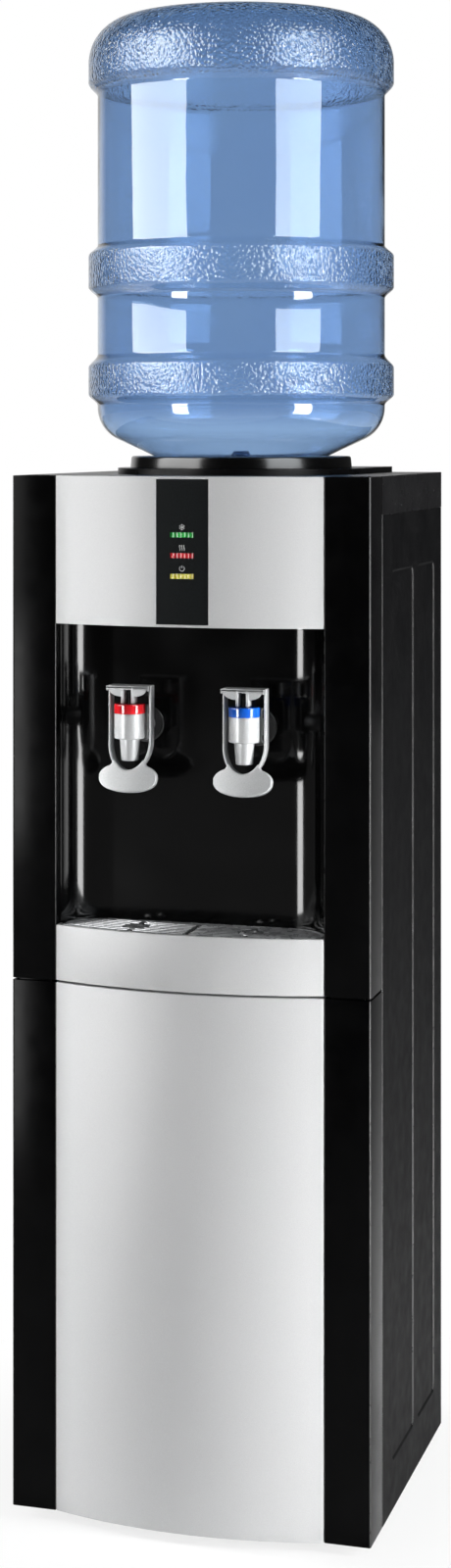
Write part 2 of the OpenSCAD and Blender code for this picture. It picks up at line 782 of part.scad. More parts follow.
module hot_tap_body() { at_tap(-1) tap_body(); }
module hot_tap_ring() { at_tap(-1) color("crimson") tap_ring(); }
module hot_tap_stem() { at_tap(-1) tap_stem(); }
module hot_tap_seal() { at_tap(-1) tap_seal(); }
module hot_tap_spring() { at_tap(-1) tap_spring(); }
module hot_tap_lever() { at_tap(-1) tap_lever(); }
module hot_lever_pin() { at_tap(-1) lever_pin(); }
module cold_tap_body() { at_tap(1) tap_body(); }
module cold_tap_ring() { at_tap(1) color("royalblue") tap_ring(); }
module cold_tap_stem() { at_tap(1) tap_stem(); }
module cold_tap_seal() { at_tap(1) tap_seal(); }
module cold_tap_spring() { at_tap(1) tap_spring(); }
module cold_tap_lever() { at_tap(1) tap_lever(); }
module cold_lever_pin() { at_tap(1) lever_pin(); }

module rosettes() {
    rosette_t = 2.2;
    color([0.2, 0.2, 0.21]) both_sides() translate([tap_x, y_wall - fit, shank_z]) rotate([90, 0, 0]) difference() {
        cylinder(r = rosette_r, h = rosette_t);
        translate([0, 0, -1]) cylinder(r = shank_r + fit, h = rosette_t + 2);
    }
}

module tap_nuts() {
    nut_r = 14;
    nut_t = 6;
    color("white") both_sides() translate([tap_x, y_wall + wall + fit / 2, shank_z]) rotate([-90, 0, 0]) difference() {
        cylinder(r = nut_r, h = nut_t, $fn = 6);
        translate([0, 0, -1]) cylinder(r = shank_r + fit / 2, h = nut_t + 2);
    }
}

// The guard under the bottle: a flange on the collar, a funnel and the probe that opens the cap
module water_guard() {
    flange_t = 2.5;
    guard_wall = 2;
    cup_r = neck_r + 8;
    cup_h = 30;
    z_flange = z_ledge + fit / 2;
    z_floor = z_cold_top + 3;
    in_r = seat_r - seat_in - fit;
    cone_out = in_r - ledge_w - fit;
    color([0.25, 0.27, 0.3]) translate([0, y_bottle, 0]) difference() {
        rotate_extrude() polygon([[probe_r - guard_wall, z_floor - 8], [probe_r + 1, z_floor - 8],
            [probe_r + 1, z_floor], [cup_r, z_floor], [cup_r, z_floor + cup_h], [cone_out, z_flange],
            [in_r, z_flange], [in_r, z_flange + flange_t], [cone_out - guard_wall, z_flange + flange_t],
            [cup_r - guard_wall, z_floor + cup_h + guard_wall], [cup_r - guard_wall, z_floor + guard_wall],
            [probe_r, z_floor + guard_wall], [probe_r, probe_top], [probe_r - guard_wall, probe_top + 3]]);
        for (a = [0, 90]) rotate(a) rod_x(3, -probe_r - 1, probe_r + 1, 0, probe_top - 14);
    }
}

module cold_tank() {
    color("silver") translate([0, y_bottle, 0]) difference() {
        rod(cold_r, z_cold, z_cold_top);
        rod(cold_r - sheet, z_cold + sheet, z_cold_top - sheet);
        rod(probe_r + 1 + fit, z_cold_top - 5, z_cold_top + 1);
    }
    color("silver") for (p = [[tap_x, y_bottle], [feed_x, feed_y]]) translate([p.x, p.y, 0])
        tube(hose_r, hose_r - hose_wall, z_cold - tank_gap, z_cold + tiny);
}

module cold_tank_foam() {
    y_port = y_bottle;
    color("whitesmoke") difference() {
        rod(cold_r + 2 * foam_t - 4, z_cold_foam, z_cold_top, 0, y_bottle);
        rod(cold_r + coil_t + 0.6, z_cold, z_cold_top + 1, 0, y_bottle);
        rod(hose_r + 1, z_cold_foam - 1, z_cold + 1, tap_x, y_port);
        rod(hose_r + 1, z_cold_foam - 1, z_cold + 1, feed_x, feed_y);
        rod_x(pipe_r + fit, cold_r, cold_r + 3 * foam_t, y_bottle, z_suction);
        rod_x(pipe_r + fit, -cold_r - 3 * foam_t, -cold_r, y_bottle, z_capillary);
    }
}

module evaporator() {
    color("peru") translate([0, y_bottle, 0])
        tube(cold_r + coil_t + 0.3, cold_r + 0.3, z_cold + evaporator_end, z_cold_top - evaporator_end);
}

module hot_tank() {
    color("silver") translate([hot_x, y_hot, 0]) difference() {
        rod(hot_r, z_hot, z_hot_top);
        rod(hot_r - sheet, z_hot + sheet, z_hot_top - sheet);
    }
    color("silver") {
        for (p = [[-tap_x, y_hot], [feed_x, feed_y]]) translate([p.x, p.y, 0])
            tube(hose_r, hose_r - hose_wall, z_hot_top - tiny, z_hot_top + foam_t + 3);
        translate([hot_x, y_hot, 0]) tube(hose_r, hose_r - hose_wall, z_hot - foam_t, z_hot + tiny);
    }
}

module hot_tank_foam() {
    color("whitesmoke") difference() {
        rod(hot_r + foam_t, z_hot_foam, z_hot_foam_top, hot_x, y_hot);
        rod(hot_r + 3, z_hot, z_hot_top, hot_x, y_hot);
        for (p = [[-tap_x, y_hot], [feed_x, feed_y]]) rod(hose_r + 1, z_hot, z_hot_foam_top + 1, p.x, p.y);
        rod(hose_r + 1, z_hot_foam - 1, z_hot + 1, hot_x, y_hot);
        for (y = thermostat_ys)
            rod(thermostat_r + 1, z_hot_top - 1, z_hot_foam_top + 1, hot_x + thermostat_x, y_hot + y);
    }
}

module tank_heater() {
    color("gray") translate([hot_x, y_hot, 0]) {
        tube(hot_r + 2.7, hot_r + 0.3, z_hot + heater_up, z_hot + heater_up + heater_h);
        for (y = thermostat_ys) rod(thermostat_r, z_hot_top + fit, z_hot_top + 5, thermostat_x, y);
    }
}

module tank_shelves() {
    flange_h = 14;
    y0 = y_wall + 2 * foam_t;
    y1 = y_rear - 30;
    color("dimgray") {
        difference() {
            shelf(z_cold_foam, y0, y1, flange_h);
            for (p = [[tap_x, y_bottle], [feed_x, feed_y]])
                rod(hose_r + 1, z_cold_foam - 5, z_cold_foam + 1, p.x, p.y);
        }
        difference() {
            shelf(z_hot_foam, y0, y1, flange_h);
            rod(hose_r + 2, z_hot_foam - 5, z_hot_foam + 1, hot_x, y_hot);
        }
    }
}

// A shelf under z_shelf with a flange turned down at each side panel
module shelf(z_shelf, y0, y1, flange_h) {
    reach = half_w - sheet - press_d - fit;
    slot = 8;
    difference() {
        block([-reach, y0, z_shelf - shelf_t - fit], [reach, y1, z_shelf - fit]);
        both_sides() block([pipe_x - slot, y_bottle - slot, z_shelf - 5], [pipe_x + slot, comp_y + slot, z_shelf]);
    }
    both_sides() block([reach - shelf_t, y0, z_shelf - flange_h], [reach, y1, z_shelf - fit]);
}

module hoses() {
    r_in = hose_r - hose_wall;
    color([0.85, 0.87, 0.9, 0.8]) {
        pipe([[tap_x, y_hose + fit / 2, shank_z], [tap_x, y_bottle, shank_z],
            [tap_x, y_bottle, z_cold - tank_gap - fit / 2]], hose_r, r_in);
        pipe([[-tap_x, y_hose + fit / 2, shank_z], [-tap_x, y_hot, shank_z],
            [-tap_x, y_hot, z_hot_top + foam_t + 3 + fit / 2]], hose_r, r_in, shank_z - z_hot_top - foam_t - 4);
        pipe([[feed_x, feed_y, z_hot_top + foam_t + 3 + fit / 2],
            [feed_x, feed_y, z_cold - tank_gap - fit / 2]], hose_r, r_in);
        pipe([[hot_x, y_hot, z_hot - foam_t - fit / 2], [hot_x, y_hot, z_drain],
            [hot_x, rear_y - 16 - fit / 2, z_drain]], hose_r, r_in);
    }
}

module compressor() {
    dome = 22;
    color([0.1, 0.1, 0.1]) {
        translate([comp_x, comp_y, 0]) rotate_extrude() polygon(concat([[0, z_comp + 2]],
            [for (a = [-90:10:0]) [comp_r - dome + dome * cos(a), z_comp + 4 + dome + dome * sin(a)]],
            [for (a = [0:10:90]) [comp_r - dome + dome * cos(a), z_comp + comp_h - dome + dome * sin(a)]],
            [[0, z_comp + comp_h]]));
        difference() {
            block([comp_x - comp_r - 6, comp_y - comp_r + 4, z_comp], [comp_x + comp_r + 6, comp_y + comp_r - 4, z_comp + 5]);
            at_mounts() rod(5 + fit, z_comp - 1, z_comp + 6);
        }
    }
}

module at_mounts() {
    for (x = [-1, 1], y = [-1, 1]) translate([comp_x + x * (comp_r - 5), comp_y + y * (comp_r - 15), 0]) children();
}

module compressor_mounts() {
    color([0.15, 0.15, 0.15]) at_mounts() {
        rod(9, z_pan, z_comp - fit / 2);
        rod(5, z_comp - 1, z_comp + 5 + fit);
        rod(8, z_comp + 5 + fit / 2, z_comp + 8);
    }
}

module relay_cover() {
    color([0.12, 0.12, 0.12]) block([comp_x - comp_r - 24, comp_y - 24, z_comp + 40],
        [comp_x - comp_r - 0.3, comp_y + 24, z_comp + 92]);
}

module filter_drier() {
    color("peru") translate([-pipe_x, y_rear - 2 * sheet - 20, 0]) {
        rod(drier_r, z_comp + 50, z_comp + 120);
        rod(pipe_r + 1, z_comp + 44, z_comp + 126);
    }
}

module refrigerant_pipes() {
    y_drier = y_rear - 2 * sheet - 20;
    y_side = y_bottle;
    z_out = z_comp + 40;
    x_off = sqrt(comp_r * comp_r - (comp_y - y_side) * (comp_y - y_side));
    color("peru") {
        pipe([[comp_x + comp_r + 0.2, comp_y, z_out], [pipe_x, comp_y, z_out], [pipe_x, comp_y, z_coil_top],
            [pipe_x, rear_y - fit, z_coil_top]], pipe_r);
        pipe([[comp_x + x_off + pipe_r, y_side, z_out + 50], [pipe_x, y_side, z_out + 50], [pipe_x, y_side, z_suction],
            [cold_r + coil_t + 0.6, y_side, z_suction]], pipe_r);
        pipe([[-pipe_x, rear_y - fit, z_coil_bottom], [-pipe_x, y_drier, z_coil_bottom],
            [-pipe_x, y_drier, z_comp + 126 + fit / 2]], pipe_r);
        pipe([[-pipe_x, y_drier, z_comp + 44 - fit / 2], [-pipe_x, y_drier, z_comp + 20], [-pipe_x, y_side, z_comp + 20],
            [-pipe_x, y_side, z_capillary], [-cold_r - coil_t - 0.6, y_side, z_capillary]], pipe_r / 2);
    }
}

// Runs of the condenser's tube, from the inlet at the top to the outlet at the bottom
function coil_points() = concat(
    [[pipe_x, rear_y, z_coil_top], [pipe_x, y_coil, z_coil_top]],
    [for (i = [0:coil_runs - 2]) let (x = (i % 2 == 0 ? -1 : 1) * coil_half_w)
        each [[x, y_coil, z_coil_top - i * coil_pitch], [x, y_coil, z_coil_top - (i + 1) * coil_pitch]]],
    [[-pipe_x, y_coil, z_coil_bottom], [-pipe_x, rear_y, z_coil_bottom]]);

module condenser_tube() {
    color([0.1, 0.1, 0.1]) pipe(coil_points(), coil_r, 0, coil_bend);
}

module condenser_wires() {
    gap = 0.05;
    color([0.12, 0.12, 0.12]) for (side = [-1, 1], i = [0:wire_count - 1])
        rod(wire_r, z_coil_bottom - 8, z_coil_top + 8, -coil_reach + i * wire_pitch,
            y_coil + side * (coil_r + wire_r + gap));
}

module switch_housing() {
    cavity = rocker_r + rocker_gap;
    shell_t = 2;
    color([0.1, 0.1, 0.1]) difference() {
        union() {
            block([switch_x - switch_half_w, y_rear - sheet, switch_z - switch_half_h],
                [switch_x + switch_half_w, y_rear + plate_out, switch_z + switch_half_h]);
            block([switch_x - rocker_pitch - shell_t, y_pivot - cavity - shell_t, switch_z - cavity - shell_t],
                [switch_x + rocker_pitch + shell_t, y_rear, switch_z + cavity + shell_t]);
        }
        for (side = [-1, 1]) {
            block([switch_x + side * rocker_pitch / 2 - rocker_w / 2 - rocker_gap, y_pivot - cavity, switch_z - cavity],
                [switch_x + side * rocker_pitch / 2 + rocker_w / 2 + rocker_gap, y_rear + plate_out + 1, switch_z + cavity]);
            rod_x(pivot_r + run_clear, switch_x + side * rocker_pitch / 2 - rocker_w / 2 - 2.2,
                switch_x + side * rocker_pitch / 2 + rocker_w / 2 + 2.2, y_pivot, switch_z);
        }
    }
}

// A rocker tilted to its off side: a round back, and an outer face that is bent in the middle
module rocker(side) {
    face = 5;
    translate([switch_x + side * rocker_pitch / 2, y_pivot, switch_z]) rotate([-rocker_tilt, 0, 0]) {
        difference() {
            rod_x(rocker_r, -rocker_w / 2, rocker_w / 2, 0, 0);
            for (s = [-1, 1]) rotate([s * rocker_tilt, 0, 0])
                block([-rocker_w, face, s > 0 ? 0 : -2 * rocker_r], [rocker_w, 3 * rocker_r, s > 0 ? 2 * rocker_r : 0]);
            block([-rocker_w, -2 * rocker_r, -2 * rocker_r], [rocker_w, -rocker_r / 2, 2 * rocker_r]);
        }
        rod_x(pivot_r, -rocker_w / 2 - 2, rocker_w / 2 + 2, 0, 0);
    }
}

module cooling_rocker() {
    color("green") rocker(-1);
}

module heating_rocker() {
    color("red") rocker(1);
}

module cable_gland() {
    color([0.08, 0.08, 0.08]) translate([-switch_x, 0, switch_z]) difference() {
        union() {
            rod_y(gland_r, rear_y - 6, y_rear + 4, 0, 0);
            rod_y(gland_r + 4, rear_y - 3, rear_y - fit / 2, 0, 0);
            rod_y(gland_r + 4, y_rear - sheet + fit / 2, y_rear + 2, 0, 0);
        }
        rod_y(4, rear_y - 8, y_rear + 6, 0, 0);
    }
}

module drain_outlet() {
    color("white") translate([hot_x, 0, z_drain]) difference() {
        union() {
            rod_y(drain_r, rear_y - 6, y_rear + 14, 0, 0);
            rod_y(drain_r + 5, rear_y - 3, rear_y - fit / 2, 0, 0);
            rod_y(hose_r, rear_y - 16, rear_y - 6 + tiny, 0, 0);
        }
        rod_y(hose_r - hose_wall, rear_y - 20, y_rear + 20, 0, 0);
    }
}

module drain_cap() {
    cap_wall = 3;
    color([0.1, 0.1, 0.1]) translate([hot_x, 0, z_drain]) difference() {
        rod_y(drain_r + cap_wall, y_rear + 1, y_rear + rear_reach, 0, 0);
        rod_y(drain_r + run_clear, y_rear, y_rear + 14 + fit, 0, 0);
        for (i = [0:11]) rotate([0, i * 30, 0]) rod_y(1, y_rear, y_rear + rear_reach + 1, drain_r + cap_wall + 0.4, 0);
    }
}

module screws() {
    head_r = 3.4;
    color("silver") both_sides() for (z = screw_heights()) {
        rod_y(screw_r, rear_y - 6, y_rear + 1, screw_x, z);
        rod_y(head_r, y_rear + fit / 4, y_rear + 2, screw_x, z);
    }
}

// Height of the bottle's cone at a radius
function cone_z(r) = z_collar_top + seat_clear + (r - seat_r) * tan(cone_slope);
function ease(t) = (1 - cos(180 * t)) / 2;

// One rib of the bottle's wall: rise from z0, crest from z1 to z2, and fall to z3
function rib_points(z0, z1, z2, z3, inset, n = 6) = concat(
    [for (i = [0:n]) [bottle_r - inset + (rib_r - bottle_r) * ease(i / n), z0 + (z1 - z0) * i / n]],
    [for (i = [0:n]) [rib_r - inset - (rib_r - bottle_r) * ease(i / n), z2 + (z3 - z2) * i / n]]);

// Outline of the bottle from its mouth to the middle of its base, drawn in by inset
function bottle_outline(inset) = let (
        lift = inset / cos(cone_slope),
        x_arc = bottle_r - shoulder_r,
        z_arc = cone_z(x_arc + shoulder_r * sin(cone_slope)) + shoulder_r * cos(cone_slope),
        z_low = z_collar_top + 44.5,
        z_mid = z_collar_top + 139,
        z_band = z_bottle_top - 69,
        arc_r = base_corner_r,
        x_base = rib_r - arc_r,
        z_base_arc = z_bottle_top - arc_r)
    concat(
        [[neck_r - inset, cone_z(neck_r) - neck_l], [neck_r - inset, cone_z(neck_r - inset) + lift]],
        [for (i = [0:8]) let (a = -(90 - cone_slope) * (1 - i / 8))
            [x_arc + (shoulder_r - inset) * cos(a), z_arc + (shoulder_r - inset) * sin(a)]],
        rib_points(z_low, z_low + 10, z_low + 33, z_low + 45, inset),
        rib_points(z_mid, z_mid + 10, z_mid + 37, z_mid + 47, inset),
        [for (i = [0:6]) [bottle_r - inset + (rib_r - bottle_r) * ease(i / 6), z_band + 12 * i / 6]],
        [for (a = [0:9:90]) [x_base + (arc_r - inset) * cos(a), z_base_arc + (arc_r - inset) * sin(a)]],
        [[0, z_bottle_top - inset]]);

function turned(list) = [for (i = [len(list) - 1:-1:0]) list[i]];

module bottle() {
    color([0.55, 0.7, 0.9, 0.5]) translate([0, y_bottle, 0]) rotate_extrude()
        polygon(concat(bottle_outline(0), turned(bottle_outline(bottle_wall))));
}

module bottle_cap() {
    cap_wall = 1.5;
    cap_h = 20;
    z0 = cone_z(neck_r) - neck_l - cap_wall - fit / 2;
    color("dodgerblue") translate([0, y_bottle, 0]) difference() {
        rod(neck_r + 0.3 + cap_wall, z0, z0 + cap_h);
        rod(neck_r + 0.3, z0 + cap_wall, z0 + cap_h + 1);
        rod(probe_r + 0.5, z0 - 1, z0 + 2 * cap_wall);
    }
}

base_pan();
feet();
left_side_panel();
right_side_panel();
rear_panel();
top_cover();
bottle_collar();
upper_front_frame();
lower_front_frame();
top_fascia();
tray_apron();
lower_front_panel();
indicator_strip();
cooling_lens();
heating_lens();
power_lens();
indicator_board();
drip_tray();
drip_grille();
hot_tap_body();
hot_tap_ring();
hot_tap_stem();
hot_tap_seal();
hot_tap_spring();
hot_tap_lever();
hot_lever_pin();
cold_tap_body();
cold_tap_ring();
cold_tap_stem();
cold_tap_seal();
cold_tap_spring();
cold_tap_lever();
cold_lever_pin();
rosettes();
tap_nuts();
water_guard();
cold_tank();
cold_tank_foam();
evaporator();
hot_tank();
hot_tank_foam();
tank_heater();
tank_shelves();
hoses();
compressor();
compressor_mounts();
relay_cover();
filter_drier();
refrigerant_pipes();
condenser_tube();
condenser_wires();
switch_housing();
cooling_rocker();
heating_rocker();
cable_gland();
drain_outlet();
drain_cap();
screws();
bottle();
bottle_cap();
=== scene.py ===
import functools
import json
import math

import bmesh
import bpy
import numpy as np
from bpy.props import FloatProperty, FloatVectorProperty, IntProperty, PointerProperty
from bpy.types import Operator, Panel, PropertyGroup
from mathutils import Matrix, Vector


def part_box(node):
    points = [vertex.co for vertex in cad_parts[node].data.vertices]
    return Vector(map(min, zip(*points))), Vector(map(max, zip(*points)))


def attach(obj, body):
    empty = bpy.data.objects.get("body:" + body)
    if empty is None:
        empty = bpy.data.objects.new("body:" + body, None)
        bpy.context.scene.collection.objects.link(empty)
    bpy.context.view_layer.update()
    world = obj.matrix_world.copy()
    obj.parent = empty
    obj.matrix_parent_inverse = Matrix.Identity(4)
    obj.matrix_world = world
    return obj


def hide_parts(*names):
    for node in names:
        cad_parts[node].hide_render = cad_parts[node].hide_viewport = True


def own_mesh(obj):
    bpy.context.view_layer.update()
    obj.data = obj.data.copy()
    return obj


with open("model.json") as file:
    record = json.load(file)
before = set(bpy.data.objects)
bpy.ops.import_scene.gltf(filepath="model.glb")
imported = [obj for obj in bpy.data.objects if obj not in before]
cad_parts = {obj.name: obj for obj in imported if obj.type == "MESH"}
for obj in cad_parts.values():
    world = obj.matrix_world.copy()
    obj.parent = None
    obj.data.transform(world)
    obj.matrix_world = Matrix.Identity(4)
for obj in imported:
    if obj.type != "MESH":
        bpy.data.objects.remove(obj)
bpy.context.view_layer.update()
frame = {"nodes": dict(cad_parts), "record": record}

bl_info = {
    "name": "Water cooler",
    "version": (1, 0, 0),
    "blender": (4, 5, 0),
    "location": "3D View > Sidebar > Water cooler",
    "description": "Builds the surfaces, finishes and stage of a floor-standing water cooler on its CAD frame",
    "category": "Object",
}

MM = 0.001
BODY_OF = {node: body for body, nodes in frame["record"]["behaviour"]["bodies"].items() for node in nodes}


def low_high(node):
    """Lowest and highest corner of a CAD node, in millimetres."""
    low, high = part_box(node)
    return np.array(low) * 1000, np.array(high) * 1000


UPPER_LOW, UPPER_HIGH = low_high("upper_front_frame")
LOWER_LOW = low_high("lower_front_frame")[0]
FASCIA_LOW, FASCIA_HIGH = low_high("top_fascia")
SIDE_LOW, SIDE_HIGH = low_high("right_side_panel")
BOTTLE_LOW, BOTTLE_HIGH = low_high("bottle")
COLLAR_LOW, COLLAR_HIGH = low_high("bottle_collar")

# Lengths in millimetres. Those below the first line come from the boxes of the CAD nodes.
GAP, WALL, NICHE_DEPTH, NICHE_R, CLEAR = 0.2, 2.5, 42, 39, 0.4
HALF_W = UPPER_HIGH[0]
Y_FRONT = UPPER_LOW[1]
BOW = Y_FRONT - FASCIA_LOW[1]
PANEL_HALF = FASCIA_HIGH[0] + GAP
BOW_R = (PANEL_HALF ** 2 + BOW ** 2) / (2 * BOW)
Y_BOW = Y_FRONT - BOW + BOW_R
Z_UPPER, Z_TOP = UPPER_LOW[2], UPPER_HIGH[2]
Z_NICHE = FASCIA_LOW[2]
Z_GRILLE = low_high("drip_grille")[1][2]
Y_WALL = Y_FRONT + NICHE_DEPTH
NICHE_HALF = PANEL_HALF + 1
ARC_X, ARC_Y = NICHE_HALF - NICHE_R, Y_WALL - NICHE_R
Y_BOTTLE = (BOTTLE_LOW[1] + BOTTLE_HIGH[1]) / 2
Z_COLLAR, Z_COLLAR_TOP = Z_TOP + 5, COLLAR_HIGH[2]


# ---------------------------------------------------------------- shapes

def unit(v):
    """Each row divided by its length."""
    return v / np.maximum(np.linalg.norm(v, axis=-1, keepdims=True), 1e-12)


def rounded(points, radius, steps=6, closed=True):
    """Corners turned into arcs: at each corner the arc's centre lies on the bisector at radius / sin(half angle),
    and the arc runs between the two tangent points by a spherical blend of their offsets from the centre."""
    p = np.asarray(points, float)
    r = np.broadcast_to(np.asarray(radius, float), len(p))[:, None]
    back, ahead = unit(np.roll(p, 1, 0) - p), unit(np.roll(p, -1, 0) - p)
    half = np.arccos(np.clip((back * ahead).sum(1), -1, 1))[:, None] / 2
    half = np.clip(half, 1e-3, math.pi / 2 - 1e-4)
    centre = p + unit(back + ahead) * r / np.sin(half)
    a = (p + back * r / np.tan(half) - centre)[:, None]
    b = (p + ahead * r / np.tan(half) - centre)[:, None]
    turn = (math.pi - 2 * half)[:, None]
    s = np.linspace(0, 1, steps + 1)[None, :, None]
    arcs = centre[:, None] + (np.sin((1 - s) * turn) * a + np.sin(s * turn) * b) / np.sin(turn)
    if closed:
        return arcs.reshape(-1, p.shape[1])
    return np.concatenate([p[:1], arcs[1:-1].reshape(-1, p.shape[1]), p[-1:]])


def grid_faces(rows, columns, wrap_rows=False, wrap_columns=False):
    """Quads of a grid of points stored row by row."""
    i = np.arange(rows if wrap_rows else rows - 1)[:, None]
    j = np.arange(columns if wrap_columns else columns - 1)[None, :]
    i2, j2 = (i + 1) % rows, (j + 1) % columns
    quads = [i * columns + j, i2 * columns + j, i2 * columns + j2, i * columns + j2]
    return np.stack([np.broadcast_to(q, (i.size, j.size)).ravel() for q in quads], 1)


def join(*parts):
    """Several (points, list of face arrays) put together as one."""
    verts, faces, count = [], [], 0
    for points, sets in parts:
        verts.append(points)
        faces += [np.asarray(f) + count for f in sets]
        count += len(points)
    return np.concatenate(verts), faces


def moved(part, matrix=None, shift=(0, 0, 0)):
    """Points turned by a 3 by 3 matrix, then shifted."""
    points, faces = part
    if matrix is not None:
        points = points @ np.asarray(matrix, float).T
    return points + np.asarray(shift, float), faces


def mirrored(part):
    """The part and its mirror image across the middle plane."""
    return join(part, moved(part, np.diag([-1, 1, 1])))


ALONG_Y = [[1, 0, 0], [0, 0, 1], [0, 1, 0]]


def lathe(profile, steps=96, centre=(0, 0), wrap=False):
    """Surface of revolution: at angle a and profile place s the point is (r(s) cos a, r(s) sin a, z(s))."""
    p = np.asarray(profile, float)
    a = np.linspace(0, 2 * math.pi, steps, endpoint=False)
    r, z = p[:, 0][:, None], p[:, 1][:, None]
    points = np.stack([centre[0] + r * np.cos(a), centre[1] + r * np.sin(a), z + 0 * a], -1).reshape(-1, 3)
    return points, [grid_faces(len(p), steps, wrap, True)]


def tube(rings):
    """Rings of points joined to a closed skin with a flat face at each end."""
    n, k = rings.shape[:2]
    caps = np.arange(k)[None, ::-1], (np.arange(k) + (n - 1) * k)[None]
    return rings.reshape(-1, 3), [grid_faces(n, k, False, True), *caps]


def prism(outline, z0, z1, edge=0.5, steps=3):
    """A closed outline carried from z0 to z1 with rounded rims: at angle t of a rim the outline is drawn in
    along its normals by edge (1 - sin t) and stands edge (1 - cos t) from the flat end."""
    o = np.asarray(outline, float)
    o = o[np.linalg.norm(o - np.roll(o, 1, 0), axis=1) > 1e-4]
    side = unit(np.roll(o, -1, 0) - o)
    n1 = np.stack([side[:, 1], -side[:, 0]], 1)
    n0 = np.roll(n1, 1, 0)
    normal = (n0 + n1) / np.maximum(1 + (n0 * n1).sum(1, keepdims=True), 0.35)
    area = (o[:, 0] * np.roll(o[:, 1], -1) - np.roll(o[:, 0], -1) * o[:, 1]).sum()
    normal *= 1 if area > 0 else -1
    t = np.linspace(0, math.pi / 2, steps + 1)
    inset = np.concatenate([[edge * 1.6], edge * (1 - np.sin(t))])
    height = np.concatenate([[0], edge * (1 - np.cos(t))])
    inset = np.concatenate([inset, inset[::-1]])
    height = np.concatenate([z0 + height, z1 - height[::-1]])
    rings = o[None] - normal[None] * inset[:, None, None]
    return tube(np.concatenate([rings, np.broadcast_to(height[:, None, None], rings.shape[:2] + (1,))], -1))


def bar(low, high, edge=0.4, steps=2):
    """A rounded block between two corners, as a prism of its plan."""
    low, high = np.minimum(low, high), np.maximum(low, high)
    corners = [[low[0], low[1]], [high[0], low[1]], [high[0], high[1]], [low[0], high[1]]]
    return prism(rounded(corners, edge, 3), low[2], high[2], edge, steps)


def sweep(path, section, up=(0, 0, 1)):
    """A section carried along a path: each point is path + section.x * side + section.y * lift, where side is
    the path's tangent crossed with up, and lift is side crossed with the tangent."""
    p, s = np.asarray(path, float), np.asarray(section, float)
    ahead = np.roll(p, -1, 0) - p
    behind = p - np.roll(p, 1, 0)
    ahead[-1], behind[0] = behind[-1], ahead[0]
    tangent = unit(unit(ahead) + unit(behind))
    side = unit(np.cross(tangent, np.asarray(up, float)))
    lift = np.cross(side, tangent)
    return tube(p[:, None] + s[None, :, :1] * side[:, None] + s[None, :, 1:] * lift[:, None])


def plate(u, w, keep, front, back):
    """A sheet over the stations u by w with some cells left open: front and back give its two faces as
    functions of the stations, and a wall closes each edge between a kept and an open cell."""
    uu, ww = np.meshgrid(u, w, indexing="ij")
    points = np.concatenate([front(uu, ww).reshape(-1, 3), back(uu, ww).reshape(-1, 3)])
    rows, columns = len(u), len(w)
    half = rows * columns
    mids = np.meshgrid((u[1:] + u[:-1]) / 2, (w[1:] + w[:-1]) / 2, indexing="ij")
    kept = keep(*mids)
    cells = grid_faces(rows, columns)[kept.ravel()]
    padded = np.pad(kept, 1)
    index = np.arange(half).reshape(rows, columns)
    i, j = np.nonzero(padded[1:, 1:-1] != padded[:-1, 1:-1])
    across = np.stack([index[i, j], index[i, j + 1], index[i, j + 1] + half, index[i, j] + half], 1)
    i, j = np.nonzero(padded[1:-1, 1:] != padded[1:-1, :-1])
    along = np.stack([index[i, j], index[i + 1, j], index[i + 1, j] + half, index[i, j] + half], 1)
    return points, [cells, cells[:, ::-1] + half, across, along]


def circle_section(radius, steps):
    """A round section."""
    a = np.linspace(0, 2 * math.pi, steps, endpoint=False)
    return np.stack([radius * np.cos(a), radius * np.sin(a)], 1)


def box_section(width, height, corner, steps):
    """A rectangular section with rounded corners."""
    w, h = width / 2, height / 2
    return rounded([[-w, -h], [w, -h], [w, h], [-w, h]], corner, steps)


def bow_y(x, inset=0.0):
    """Front of the bowed face at x: the circle of the bow, drawn in by inset."""
    return Y_BOW - np.sqrt((BOW_R - inset) ** 2 - np.asarray(x, float) ** 2)


def stations(*parts, places=9):
    """Several lists of stations as one, in order and without doubles."""
    return np.unique(np.round(np.concatenate(parts), places))


def everywhere(a, b):
    """Keeps every cell of a plate."""
    return np.ones_like(a, bool)


def ease(t):
    """A smooth step, 3 t^2 - 2 t^3."""
    t = np.clip(t, 0, 1)
    return t * t * (3 - 2 * t)


# ---------------------------------------------------------------- pieces

FINISHES = {}


def clean(mesh, new, crease=35):
    """Merges doubles, drops loose points, shades smooth and marks sharp edges. Faces of a new mesh are pointed
    outward, and flat faces of a CAD mesh are joined."""
    bm = bmesh.new()
    bm.from_mesh(mesh)
    bmesh.ops.remove_doubles(bm, verts=bm.verts, dist=2e-6 if new else 1e-5)
    bmesh.ops.delete(bm, geom=[v for v in bm.verts if not v.link_faces], context="VERTS")
    if new:
        bmesh.ops.recalc_face_normals(bm, faces=bm.faces)
    else:
        bmesh.ops.dissolve_limit(bm, angle_limit=math.radians(0.4), verts=bm.verts, edges=bm.edges)
    limit = math.radians(crease)
    for face in bm.faces:
        face.smooth = True
    for edge in bm.edges:
        edge.smooth = len(edge.link_faces) == 2 and edge.calc_face_angle(0) < limit
    bm.to_mesh(mesh)
    bm.free()
    mesh.update()


def new_object(name, data):
    """An object for a mesh, a lamp or a camera, in the scene."""
    item = bpy.data.objects.new(name, data)
    bpy.context.scene.collection.objects.link(item)
    return item


